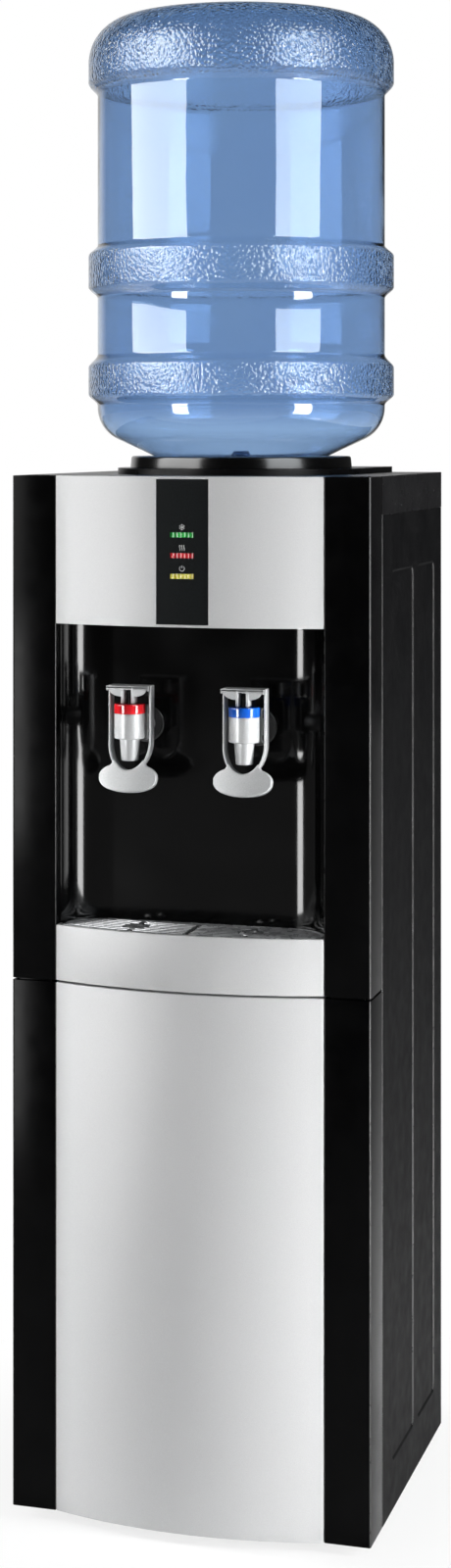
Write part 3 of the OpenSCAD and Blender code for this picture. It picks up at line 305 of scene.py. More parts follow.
def settle(piece, look, node, hide, bevel, angle, segments):
    """Gives a new piece its finish and rounded edges, hangs it on the empty of its body and hides the CAD nodes it
    stands for.
    """
    piece.data.materials.append(FINISHES[look])
    if bevel:
        edges = piece.modifiers.new("Edges", "BEVEL")
        edges.width, edges.segments = bevel * MM, segments
        edges.limit_method, edges.angle_limit = "ANGLE", math.radians(angle)
        edges.use_clamp_overlap = True
        piece.modifiers.new("Even shading", "WEIGHTED_NORMAL").keep_sharp = True
    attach(piece, BODY_OF[node])
    if hide:
        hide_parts(*hide)
    return piece


def add_piece(name, part, look, node, hide=None, crease=35, bevel=0.0):
    """A new piece from points in millimetres, riding where its CAD node rides and standing for it."""
    points, sets = part
    mesh = bpy.data.meshes.new(name)
    faces = [row for s in sets for row in np.asarray(s).tolist()]
    mesh.from_pydata((points * MM).tolist(), [], faces)
    clean(mesh, True, crease)
    return settle(new_object(name, mesh), look, node, (node,) if hide is None else hide, bevel, 50, 2)


def refine(node, look, slot, width, segments=2):
    """A merged copy of a CAD node with rounded edges, which stands for the node."""
    mesh = frame["nodes"][node].data.copy()
    mesh.name = node + "_finished"
    clean(mesh, False)
    mesh.materials.clear()
    return settle(new_object(mesh.name, mesh), look, node, (node,), width, 45, segments)


def refine_all(*rows):
    """Refines the CAD nodes of several rows of node, finish, slot (not used), edge and at times segments."""
    for row in rows:
        refine(*row)


def dress(node, look):
    """Gives a CAD node its finish."""
    item = frame["nodes"][node]
    if not item.material_slots:
        item.data.materials.append(FINISHES[look])
    for place in item.material_slots:
        place.material = FINISHES[look]


def face_values(mesh, kind):
    """The normals or centres of a mesh's faces, one row each."""
    values = np.empty((len(mesh.polygons), 3))
    mesh.polygons.foreach_get(kind, values.ravel())
    return values


def second_finish(piece, look, chosen):
    """Puts a second finish on the chosen faces of a piece."""
    piece.data.materials.append(FINISHES[look])
    piece.data.polygons.foreach_set("material_index", chosen.astype(int))


def paint_corner_highlights(piece):
    """Paints a highlight on the faces that turn between the front and a side: they get a lighter black that stands in
    for the sheen of the rounded edge.
    """
    normal = face_values(piece.data, "normal")
    second_finish(piece, "painted_corner_highlight",
                  (normal[:, 1] < -0.3) & (abs(normal[:, 0]) > 0.4) & (abs(normal[:, 2]) < 0.5))


# ---------------------------------------------------------------- finishes

def node_of(tree, kind, *places, **values):
    """A shader node with its sockets, by place or by name, and its properties set. A socket given as a value is
    linked."""
    item = tree.nodes.new("ShaderNode" + kind)
    for key, value in [*values.items(), *enumerate(places)]:
        if isinstance(value, bpy.types.NodeSocket):
            tree.links.new(value, item.inputs[key])
        elif isinstance(key, int) or key in item.inputs:
            item.inputs[key].default_value = value
        else:
            setattr(item, key, value)
    return item


def math_of(tree, operation, *values):
    """The result of a Math node on its values."""
    return node_of(tree, "Math", *values, operation=operation).outputs["Value"]


def largest(tree, values):
    """The largest of several values."""
    return functools.reduce(lambda a, b: math_of(tree, "MAXIMUM", a, b), values)


def ramp(tree, value, low, high, start, end, kind="LINEAR"):
    """Value from low to high mapped to start to end."""
    ends = {"From Min": low, "From Max": high, "To Min": start, "To Max": end}
    return node_of(tree, "MapRange", Value=value, interpolation_type=kind, **ends).outputs["Result"]


def object_place(tree):
    """Object coordinates."""
    return node_of(tree, "TexCoord").outputs["Object"]


def noise(tree, scale, detail=2.0, stretch=(1, 1, 1)):
    """Procedural noise on Object coordinates; scale is in cells a metre."""
    place = node_of(tree, "Mapping", Vector=object_place(tree), Scale=[scale * s for s in stretch])
    return node_of(tree, "TexNoise", Vector=place.outputs["Vector"], Scale=1.0, Detail=detail).outputs["Fac"]


def two_tone(tree, amount, dark, light, low=0.35, high=0.65):
    """A colour from dark, where amount is low, to light, where it is high."""
    tone = node_of(tree, "ValToRGB", Fac=amount)
    for end, place, colour in zip(tone.color_ramp.elements, (low, high), (dark, light)):
        end.position, end.color = place, (*colour, 1)
    return tone.outputs["Color"]


def bump_of(tree, height, depth, **more):
    """The normal of a relief, depth in metres."""
    return node_of(tree, "Bump", Strength=1.0, Distance=depth, Height=height, **more).outputs["Normal"]


def new_material(name):
    """A material, its tree and its shader."""
    material = bpy.data.materials.new(name)
    material.use_nodes = True
    return material, material.node_tree, material.node_tree.nodes["Principled BSDF"]


def feed(tree, shader, **values):
    """Sets or links the shader's sockets, each named in lower case."""
    for key, value in values.items():
        socket = shader.inputs[key.replace("_", " ").title().replace("Ior", "IOR")]
        if isinstance(value, bpy.types.NodeSocket):
            tree.links.new(value, socket)
        else:
            socket.default_value = value


def finish(name, dark, light, patch, rough, rough_patch, bump=0.0, bump_patch=900, stretch=(1, 1, 1), detail=3.0,
           **constants):
    """A finish whose colour drifts between two tones, with uneven roughness and a fine relief. Patches are in
    cells a metre and bump is in millimetres."""
    material, tree, shader = new_material(name)
    feed(tree, shader, base_color=two_tone(tree, noise(tree, patch, detail, stretch), dark, light),
         roughness=ramp(tree, noise(tree, rough_patch, detail, stretch), 0.3, 0.7, *rough), **constants)
    if bump:
        feed(tree, shader, normal=bump_of(tree, noise(tree, bump_patch, 2.0, stretch), bump * MM))
    return material


def band(tree, height, low, high, soft):
    """A mask that is 1 between two heights in millimetres, with soft ends."""
    up = ramp(tree, height, (low - soft) * MM, (low + soft) * MM, 0.0, 1.0, "SMOOTHSTEP")
    down = ramp(tree, height, (high - soft) * MM, (high + soft) * MM, 1.0, 0.0, "SMOOTHSTEP")
    return math_of(tree, "MULTIPLY", up, down)


def bottle_finish(name, tint, pebble):
    """Clear blue polycarbonate, painted paler on its shoulder as painted light and deeper on its base as painted shade,
    and pebbled on the crests of its ribs and on its dome where pebble is above 0."""
    material, tree, shader = new_material(name)
    tones = [[c * k for c, k in zip(tint, drift)] for drift in ((0.97, 0.98, 1), (1.03, 1.02, 1))]
    colour = two_tone(tree, noise(tree, 9, 1.0), *tones, 0.3, 0.7)
    height = node_of(tree, "SeparateXYZ", object_place(tree)).outputs["Z"]
    # Painted light and shade: the band from the mouth to the first rib is painted paler, and the dome darker.
    for low, high, shade in ((BOTTLE_LOW[2] - 60, RIBS[0][0] - 12, (1.42, 1.33, 1.22)),
                             (Z_DOME + 46, BOTTLE_HIGH[2] + 60, (0.8, 0.87, 0.92))):
        blend = node_of(tree, "Mix", data_type="RGBA")
        amount, first, second = [i for i in blend.inputs if i.enabled]
        tree.links.new(band(tree, height, low, high, 14), amount)
        tree.links.new(colour, first)
        second.default_value = (*[c * k for c, k in zip(tint, shade)], 1)
        colour = next(o for o in blend.outputs if o.enabled)
    wave = bump_of(tree, noise(tree, 14, 1.0), 0.0006)
    feed(tree, shader, base_color=colour, roughness=ramp(tree, noise(tree, 12), 0.3, 0.7, 0.015, 0.05),
         transmission_weight=1.0, ior=1.5, normal=wave)
    if pebble:
        crests, pebbles = RIB_CRESTS + [(Z_DOME + 4, BOTTLE_HIGH[2] + 20)], 330
        place = node_of(tree, "Mapping", Vector=object_place(tree), Scale=[pebbles] * 3)
        cells = node_of(tree, "TexVoronoi", feature="SMOOTH_F1", Vector=place.outputs["Vector"], Scale=1.0)
        cells.inputs["Smoothness"].default_value = 0.4
        grain = math_of(tree, "MULTIPLY", cells.outputs["Distance"],
                       largest(tree, [band(tree, height, low, high, 2.0) for low, high in crests]))
        feed(tree, shader, normal=bump_of(tree, grain, pebble, invert=True, Normal=wave))
    return material


# Each row: dark and light tone, patch, roughness, its patch, relief, its patch, then the shader's constants.
FINISH_ROWS = {
    "gloss_black": ((0.0016, 0.0016, 0.0018), (0.0026, 0.0026, 0.0028), 8, (0.09, 0.13), 20, 0.004, 40,
                    {"detail": 1.0, "specular_ior_level": 0.33}),
    "pillar_black": ((0.0018, 0.0018, 0.002), (0.003, 0.003, 0.0032), 30, (0.16, 0.22), 60, 0.006, 1400,
                     {"ior": 1.12}),
    "collar_black": ((0.0016, 0.0016, 0.0018), (0.0026, 0.0026, 0.0028), 12, (0.15, 0.2), 30, 0.004, 60,
                     {"detail": 1.0, "specular_ior_level": 0.5}),
    # Painted highlight: a lighter black on the rounded corners, in place of the sheen their edges catch from the lamps.
    "painted_corner_highlight": ((0.02, 0.02, 0.02), (0.035, 0.035, 0.035), 60, (0.25, 0.35), 90),
    "satin_black": ((0.004, 0.004, 0.0044), (0.006, 0.006, 0.0064), 40, (0.26, 0.34), 90, 0.01, 1500,
                    {"specular_ior_level": 0.12}),
    "side_steel": ((0.0014, 0.0014, 0.0016), (0.0024, 0.0024, 0.0026), 30, (0.5, 0.6), 60, 0.012, 1100,
                   {"ior": 1.14}),
    "strip_grain": ((0.0, 0.0006, 0.0008), (0.005, 0.0075, 0.0085), 1500, (0.5, 0.7), 900, 0.03, 1500,
                    {"ior": 1.14}),
    "print_white": ((0.55, 0.56, 0.56), (0.7, 0.7, 0.7), 300, (0.4, 0.5), 60),
    "grille_silver": ((0.4, 0.41, 0.42), (0.5, 0.51, 0.52), 120, (0.24, 0.32), 80,
                      {"metallic": 0.45, "coat_weight": 0.4, "coat_roughness": 0.06}),
    "tap_silver": ((0.42, 0.43, 0.435), (0.5, 0.51, 0.515), 1600, (0.4, 0.48), 400, 0.004, 2200,
                   {"metallic": 0.2, "coat_weight": 0.35, "coat_roughness": 0.08}),
    "ring_red": ((0.6, 0.006, 0.012), (0.7, 0.012, 0.02), 60, (0.07, 0.14), 90, {"coat_weight": 0.5}),
    "ring_blue": ((0.004, 0.09, 0.55), (0.008, 0.13, 0.66), 60, (0.07, 0.14), 90, {"coat_weight": 0.5}),
    "smoke": ((0.03, 0.03, 0.031), (0.045, 0.045, 0.046), 60, (0.16, 0.24), 90, {"coat_weight": 0.3}),
    "white_nylon": ((0.66, 0.66, 0.63), (0.74, 0.74, 0.71), 50, (0.35, 0.5), 100, 0.02, 700),
    "guard_plastic": ((0.035, 0.06, 0.11), (0.055, 0.085, 0.15), 40, (0.25, 0.35), 80, 0.01, 900),
    "silicone": ((0.62, 0.64, 0.66), (0.76, 0.78, 0.8), 45, (0.35, 0.5), 100, 0.02, 500,
                 {"transmission_weight": 0.35, "ior": 1.41}),
    "steel": ((0.5, 0.5, 0.51), (0.62, 0.62, 0.63), 60, (0.22, 0.36), 300, 0.006, 600,
              {"stretch": (1, 1, 0.05), "metallic": 1.0}),
    "zinc": ((0.42, 0.43, 0.44), (0.6, 0.61, 0.62), 70, (0.3, 0.48), 60, 0.008, 400, {"metallic": 1.0}),
    "foam": ((0.74, 0.72, 0.66), (0.86, 0.85, 0.8), 120, (0.75, 0.95), 300, 0.25, 500),
    "copper": ((0.62, 0.25, 0.13), (0.78, 0.36, 0.2), 90, (0.2, 0.36), 150, 0.01, 600, {"metallic": 1.0}),
    "rubber": ((0.012, 0.012, 0.012), (0.022, 0.022, 0.022), 80, (0.6, 0.8), 200, 0.03, 900),
    "coil_black": ((0.008, 0.008, 0.008), (0.016, 0.016, 0.016), 80, (0.3, 0.45), 100, 0.02, 600),
    "pan_steel": ((0.03, 0.03, 0.032), (0.042, 0.042, 0.045), 40, (0.35, 0.45), 80, 0.01, 900),
    "board": ((0.008, 0.09, 0.03), (0.014, 0.13, 0.045), 300, (0.2, 0.4), 200, 0.02, 900),
    "rocker_green": ((0.01, 0.26, 0.045), (0.02, 0.33, 0.06), 90, (0.15, 0.25), 90,
                     {"emission_color": (0.02, 0.5, 0.08, 1), "emission_strength": 0.15}),
    "rocker_red": ((0.5, 0.012, 0.012), (0.6, 0.02, 0.02), 90, (0.15, 0.25), 90,
                   {"emission_color": (0.7, 0.02, 0.02, 1), "emission_strength": 0.15}),
    "cap_blue": ((0.03, 0.16, 0.5), (0.05, 0.22, 0.6), 60, (0.3, 0.42), 90, 0.01, 900),
}
LENSES = {"green": ((0.0, 0.16, 0.015), (0.06, 0.75, 0.12)), "red": ((0.42, 0.0, 0.01), (0.9, 0.05, 0.06)),
          "yellow": ((0.55, 0.45, 0.01), (1.0, 0.95, 0.18))}


def make_finishes():
    """All the finishes of the cooler, by name."""
    silver, bottle = tuple(bpy.context.scene.cooler_cabinet.silver), bpy.context.scene.cooler_bottle
    shade, rows = tuple(c * 0.93 for c in silver), dict(FINISH_ROWS)
    rows["silver_paint"] = (shade, silver, 1800, (0.42, 0.52), 900, 0.006, 2200,
                            {"metallic": 0.06, "specular_ior_level": 0.22})
    for key, (dark, light) in LENSES.items():
        rows["lens_" + key] = (dark, light, 420, (0.08, 0.16), 300, 0.03, 900,
                               {"stretch": (1, 0.02, 0.02), "detail": 1.0, "coat_weight": 0.12,
                                "specular_ior_level": 0.2, "emission_color": (*light, 1),
                                "emission_strength": 0.06})
    for name, row in rows.items():
        constants = row[-1] if isinstance(row[-1], dict) else {}
        FINISHES[name] = finish(name, *row[:len(row) - bool(constants)], **constants)
    FINISHES["bottle"] = bottle_finish("bottle_polycarbonate", tuple(bottle.tint), bottle.pebble)
    FINISHES["bottle_inside"] = bottle_finish("bottle_polycarbonate_inside", tuple(bottle.tint), 0)


# ---------------------------------------------------------------- settings

class CoolerBottle(PropertyGroup):
    """Sizes and colour of the bottle and its collar."""
    wall_radius: FloatProperty(name="Wall radius", description="Radius of the bottle between its ribs",
                               default=0.127, unit="LENGTH")
    wall: FloatProperty(name="Wall", description="Thickness of the bottle's wall", default=0.0015, unit="LENGTH")
    pebble: FloatProperty(name="Pebble relief", description="Depth of the pebbled texture", default=0.001,
                          unit="LENGTH")
    tint: FloatVectorProperty(name="Tint", description="Colour that one wall of the bottle gives to light",
                              default=(0.38, 0.51, 0.70), subtype="COLOR", size=3)


class CoolerCabinet(PropertyGroup):
    """Finish of the cabinet and its front."""
    silver: FloatVectorProperty(name="Silver", description="Colour of the silver paint",
                                default=(0.69, 0.695, 0.70), subtype="COLOR", size=3)
    pressing: FloatProperty(name="Pressing depth", description="Depth of the pressed fields in the side panels",
                            default=0.0012, unit="LENGTH")
    edge: FloatProperty(name="Edge radius", description="Radius of the moulded edges", default=0.0012, unit="LENGTH")


class CoolerTaps(PropertyGroup):
    """Sizes of the taps and the grille."""
    paddle_crown: FloatProperty(name="Paddle crown", description="How far the middle of a paddle bulges",
                                default=0.0012, unit="LENGTH")
    slats: IntProperty(name="Slats", description="Number of slats in the grille", default=7)


class CoolerStage(PropertyGroup):
    """The light, the floor and the camera."""
    strip_light: FloatProperty(name="Strip light", description="Radiance of the narrow soft boxes", default=20.0)
    wide_light: FloatProperty(name="Wide light", description="Radiance of the wide soft boxes", default=12.0)
    fill: FloatProperty(name="Fill", description="Radiance of the matt side lamps", default=74.0)
    room: FloatProperty(name="Room", description="Brightness of the room on matt surfaces", default=0.2)
    lens: FloatProperty(name="Lens", description="Focal length of the camera", default=60.14, unit="CAMERA")


# ---------------------------------------------------------------- bottle

SLOPE, SEAT_R = math.radians(25), 78
Z_DOME = BOTTLE_HIGH[2] - 69
# Each rib: its foot, then how far above that its rise ends, its fall starts and its fall ends.
RIBS = ((Z_COLLAR_TOP + 44.5, 10, 33, 45), (Z_COLLAR_TOP + 139, 10, 37, 47))
RIB_CRESTS = [(z + rise - 2, z + crest + 2) for z, rise, crest, fall in RIBS]


def bottle_outline(inset, wall_r, rib_r):
    """Outline of the bottle from its mouth to the middle of its base. The shoulder and base corner are arcs, and
    each rib rises and falls by a smooth step between the wall's and the rib's radius."""
    n, neck, shoulder, corner = 12, 27.5, 31, 40

    def cone(r):
        return Z_COLLAR_TOP + 0.3 + (r - SEAT_R) * math.tan(SLOPE)

    x_arc = wall_r - shoulder
    z_arc = cone(x_arc + shoulder * math.sin(SLOPE)) + shoulder * math.cos(SLOPE)
    a = np.linspace(SLOPE - math.pi / 2, 0, n + 1)
    parts = [np.array([[neck - inset, cone(neck) - 50], [neck - inset, cone(neck - inset) + inset / math.cos(SLOPE)]]),
             np.stack([x_arc + (shoulder - inset) * np.cos(a), z_arc + (shoulder - inset) * np.sin(a)], 1)]
    t = np.linspace(0, 1, n + 1)
    for z, rise, crest, fall in RIBS:
        parts.append(np.stack([wall_r - inset + (rib_r - wall_r) * ease(t), z + rise * t], 1))
        parts.append(np.stack([rib_r - inset - (rib_r - wall_r) * ease(t), z + crest + (fall - crest) * t], 1))
    parts.append(np.stack([wall_r - inset + (rib_r - wall_r) * ease(t), Z_DOME + 12 * t], 1))
    a = np.linspace(0, math.pi / 2, 2 * n + 1)
    x_base, z_base = rib_r - corner, BOTTLE_HIGH[2] - corner
    parts.append(np.stack([x_base + (corner - inset) * np.cos(a), z_base + (corner - inset) * np.sin(a)], 1))
    r = np.linspace(1, 0, n + 1)[1:]
    dimple = 7 * ease((x_base - 6 - x_base * r) / 34)
    parts.append(np.stack([x_base * r, BOTTLE_HIGH[2] - inset - dimple], 1))
    return np.concatenate(parts)


class COOLER_OT_bottle(Operator):
    """Builds the bottle with its ribs and dome, its cap and the collar"""
    bl_idname = "cooler.bottle"
    bl_label = "Bottle"

    def execute(self, context):
        sizes = context.scene.cooler_bottle
        rib_r, centre = (BOTTLE_HIGH[0] - BOTTLE_LOW[0]) / 2, (0, Y_BOTTLE)
        outer, inner = [bottle_outline(inset, sizes.wall_radius * 1000, rib_r) for inset in (0, sizes.wall * 1000)]
        shell = lathe(np.concatenate([inner[::-1], outer]), 160, centre)
        piece = add_piece("bottle_shell", shell, "bottle", "bottle", crease=60)
        middle = np.array([0, Y_BOTTLE, (BOTTLE_LOW[2] + BOTTLE_HIGH[2]) / 2 + 30]) * MM
        outward = face_values(piece.data, "normal") * (face_values(piece.data, "center") - middle)
        second_finish(piece, "bottle_inside", outward.sum(1) < 0)
        refine("bottle_cap", "cap_blue", "cap_blue", 0.4)
        r_out, r_hole, bore, skirt = (COLLAR_HIGH[0] - COLLAR_LOW[0]) / 2, 73.8, 70, 66
        z_bore, z_under = Z_COLLAR_TOP - (SEAT_R - bore) * math.tan(SLOPE), Z_TOP - WALL
        profile = [[r_hole, z_under], [r_hole, Z_COLLAR], [r_out, Z_COLLAR], [r_out - 1, Z_COLLAR_TOP],
                   [SEAT_R, Z_COLLAR_TOP], [bore, z_bore], [bore, Z_TOP], [skirt, Z_TOP], [skirt, z_under]]
        ring = rounded(profile, [0.3, 0.3, 0.4, 2.2, 1.0, 0.6, 0.3, 0.3, 0.3], 6)
        add_piece("bottle_seat_ring", lathe(ring, 160, centre, True), "collar_black", "bottle_collar")
        return {"FINISHED"}


# ---------------------------------------------------------------- cabinet

def side_sheet(depth):
    """A side panel over depth y and height z: x falls behind the sheet by depth times the product of smooth
    steps at the edges of each pressed field, whose corners are rounded, and by a quarter circle at its folds."""
    (y0, z0), (y1, z1) = SIDE_LOW[1:], SIDE_HIGH[1:]
    y_first, y_last, between = Y_FRONT + 77, y1 - 31, 13
    middle = y_first + (y_last - y_first - between) * 0.54
    fields = [(y_first, middle), (middle + between, y_last)]
    low, high = z0 + 40, z1 + GAP - 47
    soft, fold, corner = 2.6, 1.3, 9.0
    extra = np.linspace(0, corner + 2, 10)

    def lines(a, b, marks):
        near = [m + np.linspace(-1, soft + 2, 15) * s for m, s in marks] + [m + s * extra for m, s in marks]
        return stations([a, b], np.linspace(a, b, 24), *near, places=3)

    turn = fold * (1 - np.cos(np.linspace(0, math.pi / 2, 7)))
    y = stations(lines(y0, y1, [(m, s) for f in fields for m, s in zip(f, (1, -1))]), y0 + turn, y1 - turn, places=3)
    z = lines(z0, z1, [(low, 1), (high, -1)])

    def x(yy, zz):
        total = 0
        for a, b in fields:
            dy = np.maximum(a + corner - yy, yy - b + corner)
            dz = np.maximum(low + corner - zz, zz - high + corner)
            outside = np.hypot(np.maximum(dy, 0), np.maximum(dz, 0)) + np.minimum(np.maximum(dy, dz), 0) - corner
            total = total + ease(-outside / soft)
        near = fold - np.clip(np.minimum(yy - y0, y1 - yy), 0, fold)
        return HALF_W - depth * total - (fold - np.sqrt(fold ** 2 - near ** 2))

    def face(inset):
        return lambda yy, zz: np.stack([x(yy, zz) - inset, yy, zz], -1)

    sheet = plate(y, z, everywhere, face(0.0), face(0.8))
    front_fold = bar([HALF_W - 12, y0, z0], [HALF_W - fold, y0 + 0.8, z1], 0.2)
    rear_fold = bar([HALF_W - 12, y1 - 0.8, z0], [HALF_W - fold, y1, z1], 0.2)
    return join(sheet, front_fold, rear_fold)


class COOLER_OT_cabinet(Operator):
    """Builds the side panels, the top cover, the rear panel, the base pan, the feet and the screws"""
    bl_idname = "cooler.cabinet"
    bl_label = "Cabinet"

    def execute(self, context):
        right = side_sheet(context.scene.cooler_cabinet.pressing * 1000)
        for side, sheet in (("right", right), ("left", moved(right, np.diag([-1, 1, 1])))):
            paint_corner_highlights(add_piece(side + "_side_sheet", sheet, "side_steel", side + "_side_panel",
                                   bevel=0.25))
        refine_all(("top_cover", "satin_black", "black_satin", 0.9, 3),
                   ("rear_panel", "pan_steel", "black_steel", 0.25), ("base_pan", "pan_steel", "black_steel", 0.3))
        y_rear, inset, head_r = SIDE_HIGH[1], 28, 3.4
        foot = lathe(rounded([[0, 0], [14, 0], [14, 8], [0, 8]], [0.01, 1.6, 0.6, 0.01], 4, False), 40)
        feet = [moved(foot, shift=(x, y, 0)) for x in (-HALF_W + inset, HALF_W - inset)
                for y in (Y_WALL + 1.2 + inset, y_rear - inset)]
        add_piece("levelling_feet", join(*feet), "rubber", "feet")
        low, high = low_high("screws")
        head = rounded([[0, 2.0], [head_r, 2.0], [head_r, 0.05], [0, 0.05]], [0.01, 1.1, 0.2, 0.01], 4, False)
        one = moved(join(lathe(head, 24), lathe([[0, -6], [1.6, -6], [1.6, 1], [0, 1]], 16)), ALONG_Y, (0, y_rear, 0))
        rows = [moved(one, shift=(x, 0, z)) for x in (head_r - high[0], high[0] - head_r)
                for z in np.linspace(low[2] + head_r, high[2] - head_r, 4)]
        add_piece("panel_screws", join(*rows), "zinc", "screws")
        return {"FINISHED"}


# ---------------------------------------------------------------- front

SHELL_HALF, Y_END = PANEL_HALF - GAP, Y_FRONT + 10
STRIP_HALF = 22.35
PANEL_TOP = LOWER_LOW[2] + 443.7


def pillar(z0, z1, edge):
    """One pillar with its side strip and inner rib: its plan carried upward with rounded edges."""
    x0, x1, y0 = PANEL_HALF, HALF_W, Y_FRONT
    plan = [[x0, y0], [x1, y0], [x1, Y_WALL], [x1 - WALL, Y_WALL], [x1 - WALL, y0 + WALL], [x0 + WALL, y0 + WALL],
            [x0 + WALL, y0 + 12.5], [x0, y0 + 12.5]]
    radii = [edge, edge * 1.6, 0.5, 0.5, 1.0, 1.0, 0.5, 0.5]
    return prism(rounded(plan, radii, 6), z0, z1, 0.5)


def niche_path(grow):
    """Plan of the niche wall: two straight sides joined by corner arcs to the back."""
    x, y = NICHE_HALF + grow, Y_WALL + grow
    corners = [[-x, Y_FRONT + 2], [-x, y], [x, y], [x, Y_FRONT + 2]]
    return rounded(corners, [0.01, NICHE_R + grow, NICHE_R + grow, 0.01], 40, False)


def lips(z0, z1, inset, y_end):
    """The two flat lips that close a silver shell at its lower and its upper end."""
    half = SHELL_HALF - 1.5
    x = np.linspace(-half, half, 61)
    plan = np.concatenate([np.stack([x, bow_y(x, inset)], 1), [[half, y_end], [-half, y_end]]])
    return [prism(plan, z0 + 0.1, z0 + WALL, 0.05, 1), prism(plan, z1 - WALL, z1 - 0.1, 0.05, 1)]


def bowed_shell(z0, z1, edge, ends=2):
    """A silver shell: a U plan with a bowed front carried upward, and a lip across each end, or the lower one."""
    half, count = SHELL_HALF, 81
    x = np.linspace(-half, half, count)
    xi = np.linspace(half - WALL, -half + WALL, count)
    outline = np.concatenate([[[-half, Y_END]], np.stack([x, bow_y(x)], 1), [[half, Y_END], [half - WALL, Y_END]],
                              np.stack([xi, bow_y(xi, WALL)], 1), [[-half + WALL, Y_END]]])
    radii = np.full(len(outline), 0.01)
    radii[[0, count + 1, count + 2, -1]] = 0.4
    radii[[1, count]] = edge
    return join(prism(rounded(outline, radii, 5), z0, z1, edge * 0.8, 3), *lips(z0, z1, 1.2, Y_END - 0.1)[:ends])


def bowed_faces(front, back):
    """The two face functions of a plate on the bow, drawn in by front and by back."""
    return [lambda a, b, inset=inset: np.stack([a, bow_y(a, inset), b], -1) for inset in (front, back)]


def fascia():
    """The bowed fascia with the slot for the indicator strip, its side flanges and its lips."""
    half, slot = SHELL_HALF, STRIP_HALF + GAP
    x = stations(np.linspace(-half, half, 97), [-slot, slot])
    z = np.array([Z_NICHE, Z_NICHE + 2, Z_NICHE + 40, Z_NICHE + 80, Z_TOP - 2, Z_TOP])
    skin = plate(x, z, lambda a, b: ~((abs(a) < slot) & (b > Z_NICHE + 2) & (b < Z_TOP - 2)), *bowed_faces(0, WALL))
    flange = bar([half - WALL, bow_y(half) + 1, Z_NICHE], [half, Y_END, Z_TOP])
    return join(skin, *lips(Z_NICHE, Z_TOP, 3.2, Y_END), mirrored(flange))


class COOLER_OT_front(Operator):
    """Builds the black front frames with the niche, and the silver panels"""
    bl_idname = "cooler.front"
    bl_label = "Front frames and panels"

    def execute(self, context):
        edge = context.scene.cooler_cabinet.edge * 1000
        wall = np.concatenate([niche_path(0), niche_path(WALL)[::-1]])
        y_rail, slab_half, half = Y_END + GAP, NICHE_HALF + 1, NICHE_HALF - 1
        slab = np.concatenate([[[-slab_half, y_rail]], niche_path(1.2)[2:-2], [[slab_half, y_rail]]])
        upper = join(prism(wall, Z_UPPER, Z_NICHE + WALL, 0.2, 1),
                     prism(slab, Z_UPPER, Z_UPPER + WALL, 0.1, 1), prism(slab, Z_NICHE, Z_NICHE + WALL - 0.1, 0.1, 1),
                     bar([-half, y_rail, Z_NICHE + 1], [half, y_rail + WALL, Z_TOP - WALL - GAP]))
        add_piece("niche_shell", upper, "gloss_black", "upper_front_frame")
        paint_corner_highlights(add_piece("upper_pillars", mirrored(pillar(Z_UPPER, Z_TOP, edge)), "pillar_black",
                               "upper_front_frame", hide=()))
        z0, z1, half, overlap = LOWER_LOW[2], PANEL_TOP, PANEL_HALF + 1, 16
        rails = [bar([-half, y_rail, z], [half, y_rail + WALL, z + 30]) for z in (z0, (z0 + z1) / 2, z1 - 30)]
        y_in, x_in, low, high = Y_FRONT + WALL, HALF_W - WALL, z1 - overlap, z1 + overlap
        tongues = mirrored(join(bar([PANEL_HALF + 5, y_in + GAP, low], [HALF_W - 5, y_in + 2, high]),
                                bar([x_in - 2, Y_FRONT + 5, low], [x_in - GAP, Y_WALL, high])))
        paint_corner_highlights(add_piece("lower_frame_shell", join(mirrored(pillar(z0, z1, edge)), *rails, tongues),
                               "pillar_black", "lower_front_frame"))
        add_piece("fascia_shell", fascia(), "silver_paint", "top_fascia", bevel=0.5)
        for name, part, node in (("apron_shell", bowed_shell(Z_UPPER, Z_GRILLE, edge, 1), "tray_apron"),
                                 ("lower_panel_shell", bowed_shell(z0, z1, edge), "lower_front_panel")):
            add_piece(name, part, "silver_paint", node)
        return {"FINISHED"}


# ---------------------------------------------------------------- indicators

LENS_HALF, LENS_H = 10.0, 4.3
LENS_Z = [Z_TOP - 48 - 17 * i for i in range(3)]
MARK_RISE = 6.4


def stroke(points, width):
    """One printed stroke on the strip: a flat section carried along a path of x and z."""
    p, lift = np.asarray(points, float), 0.18
    path = np.stack([p[:, 0], bow_y(p[:, 0], 0.4) - lift / 2 + 0.06, p[:, 1]], 1)
    return sweep(path, box_section(width, lift, 0.06, 1), (0, 1, 0))


def snowflake(z):
    """Six arms at 60 degrees, each with a pair of short branches."""
    parts = []
    for a in np.radians(np.arange(0, 360, 60) + 30):
        d, n = np.array([math.cos(a), math.sin(a)]), np.array([-math.sin(a), math.cos(a)])
        c = np.array([0, z])
        parts.append(stroke([c, c + 2.5 * d], 0.42))
        for s in (-1, 1):
            parts.append(stroke([c + 1.4 * d, c + 2.2 * d + s * 0.7 * n], 0.36))
    return join(*parts)


def warmth(z):
    """Three rising waves: x = 0.35 sin(2 pi t), z = 4.6 t - 2.3."""
    t = np.linspace(0, 1, 17)
    return join(*[stroke(np.stack([x + 0.35 * np.sin(2 * math.pi * t), z - 2.3 + 4.6 * t], 1), 0.5)
                  for x in (-1.8, 0, 1.8)])


def power_mark(z):
    """An open ring with a short bar in its gap."""
    a = np.radians(np.linspace(122, 418, 30))
    ring = np.stack([2.1 * np.cos(a), z + 2.1 * np.sin(a)], 1)
    return join(stroke(ring, 0.5), stroke([[0, z + 0.3], [0, z + 2.5]], 0.5))


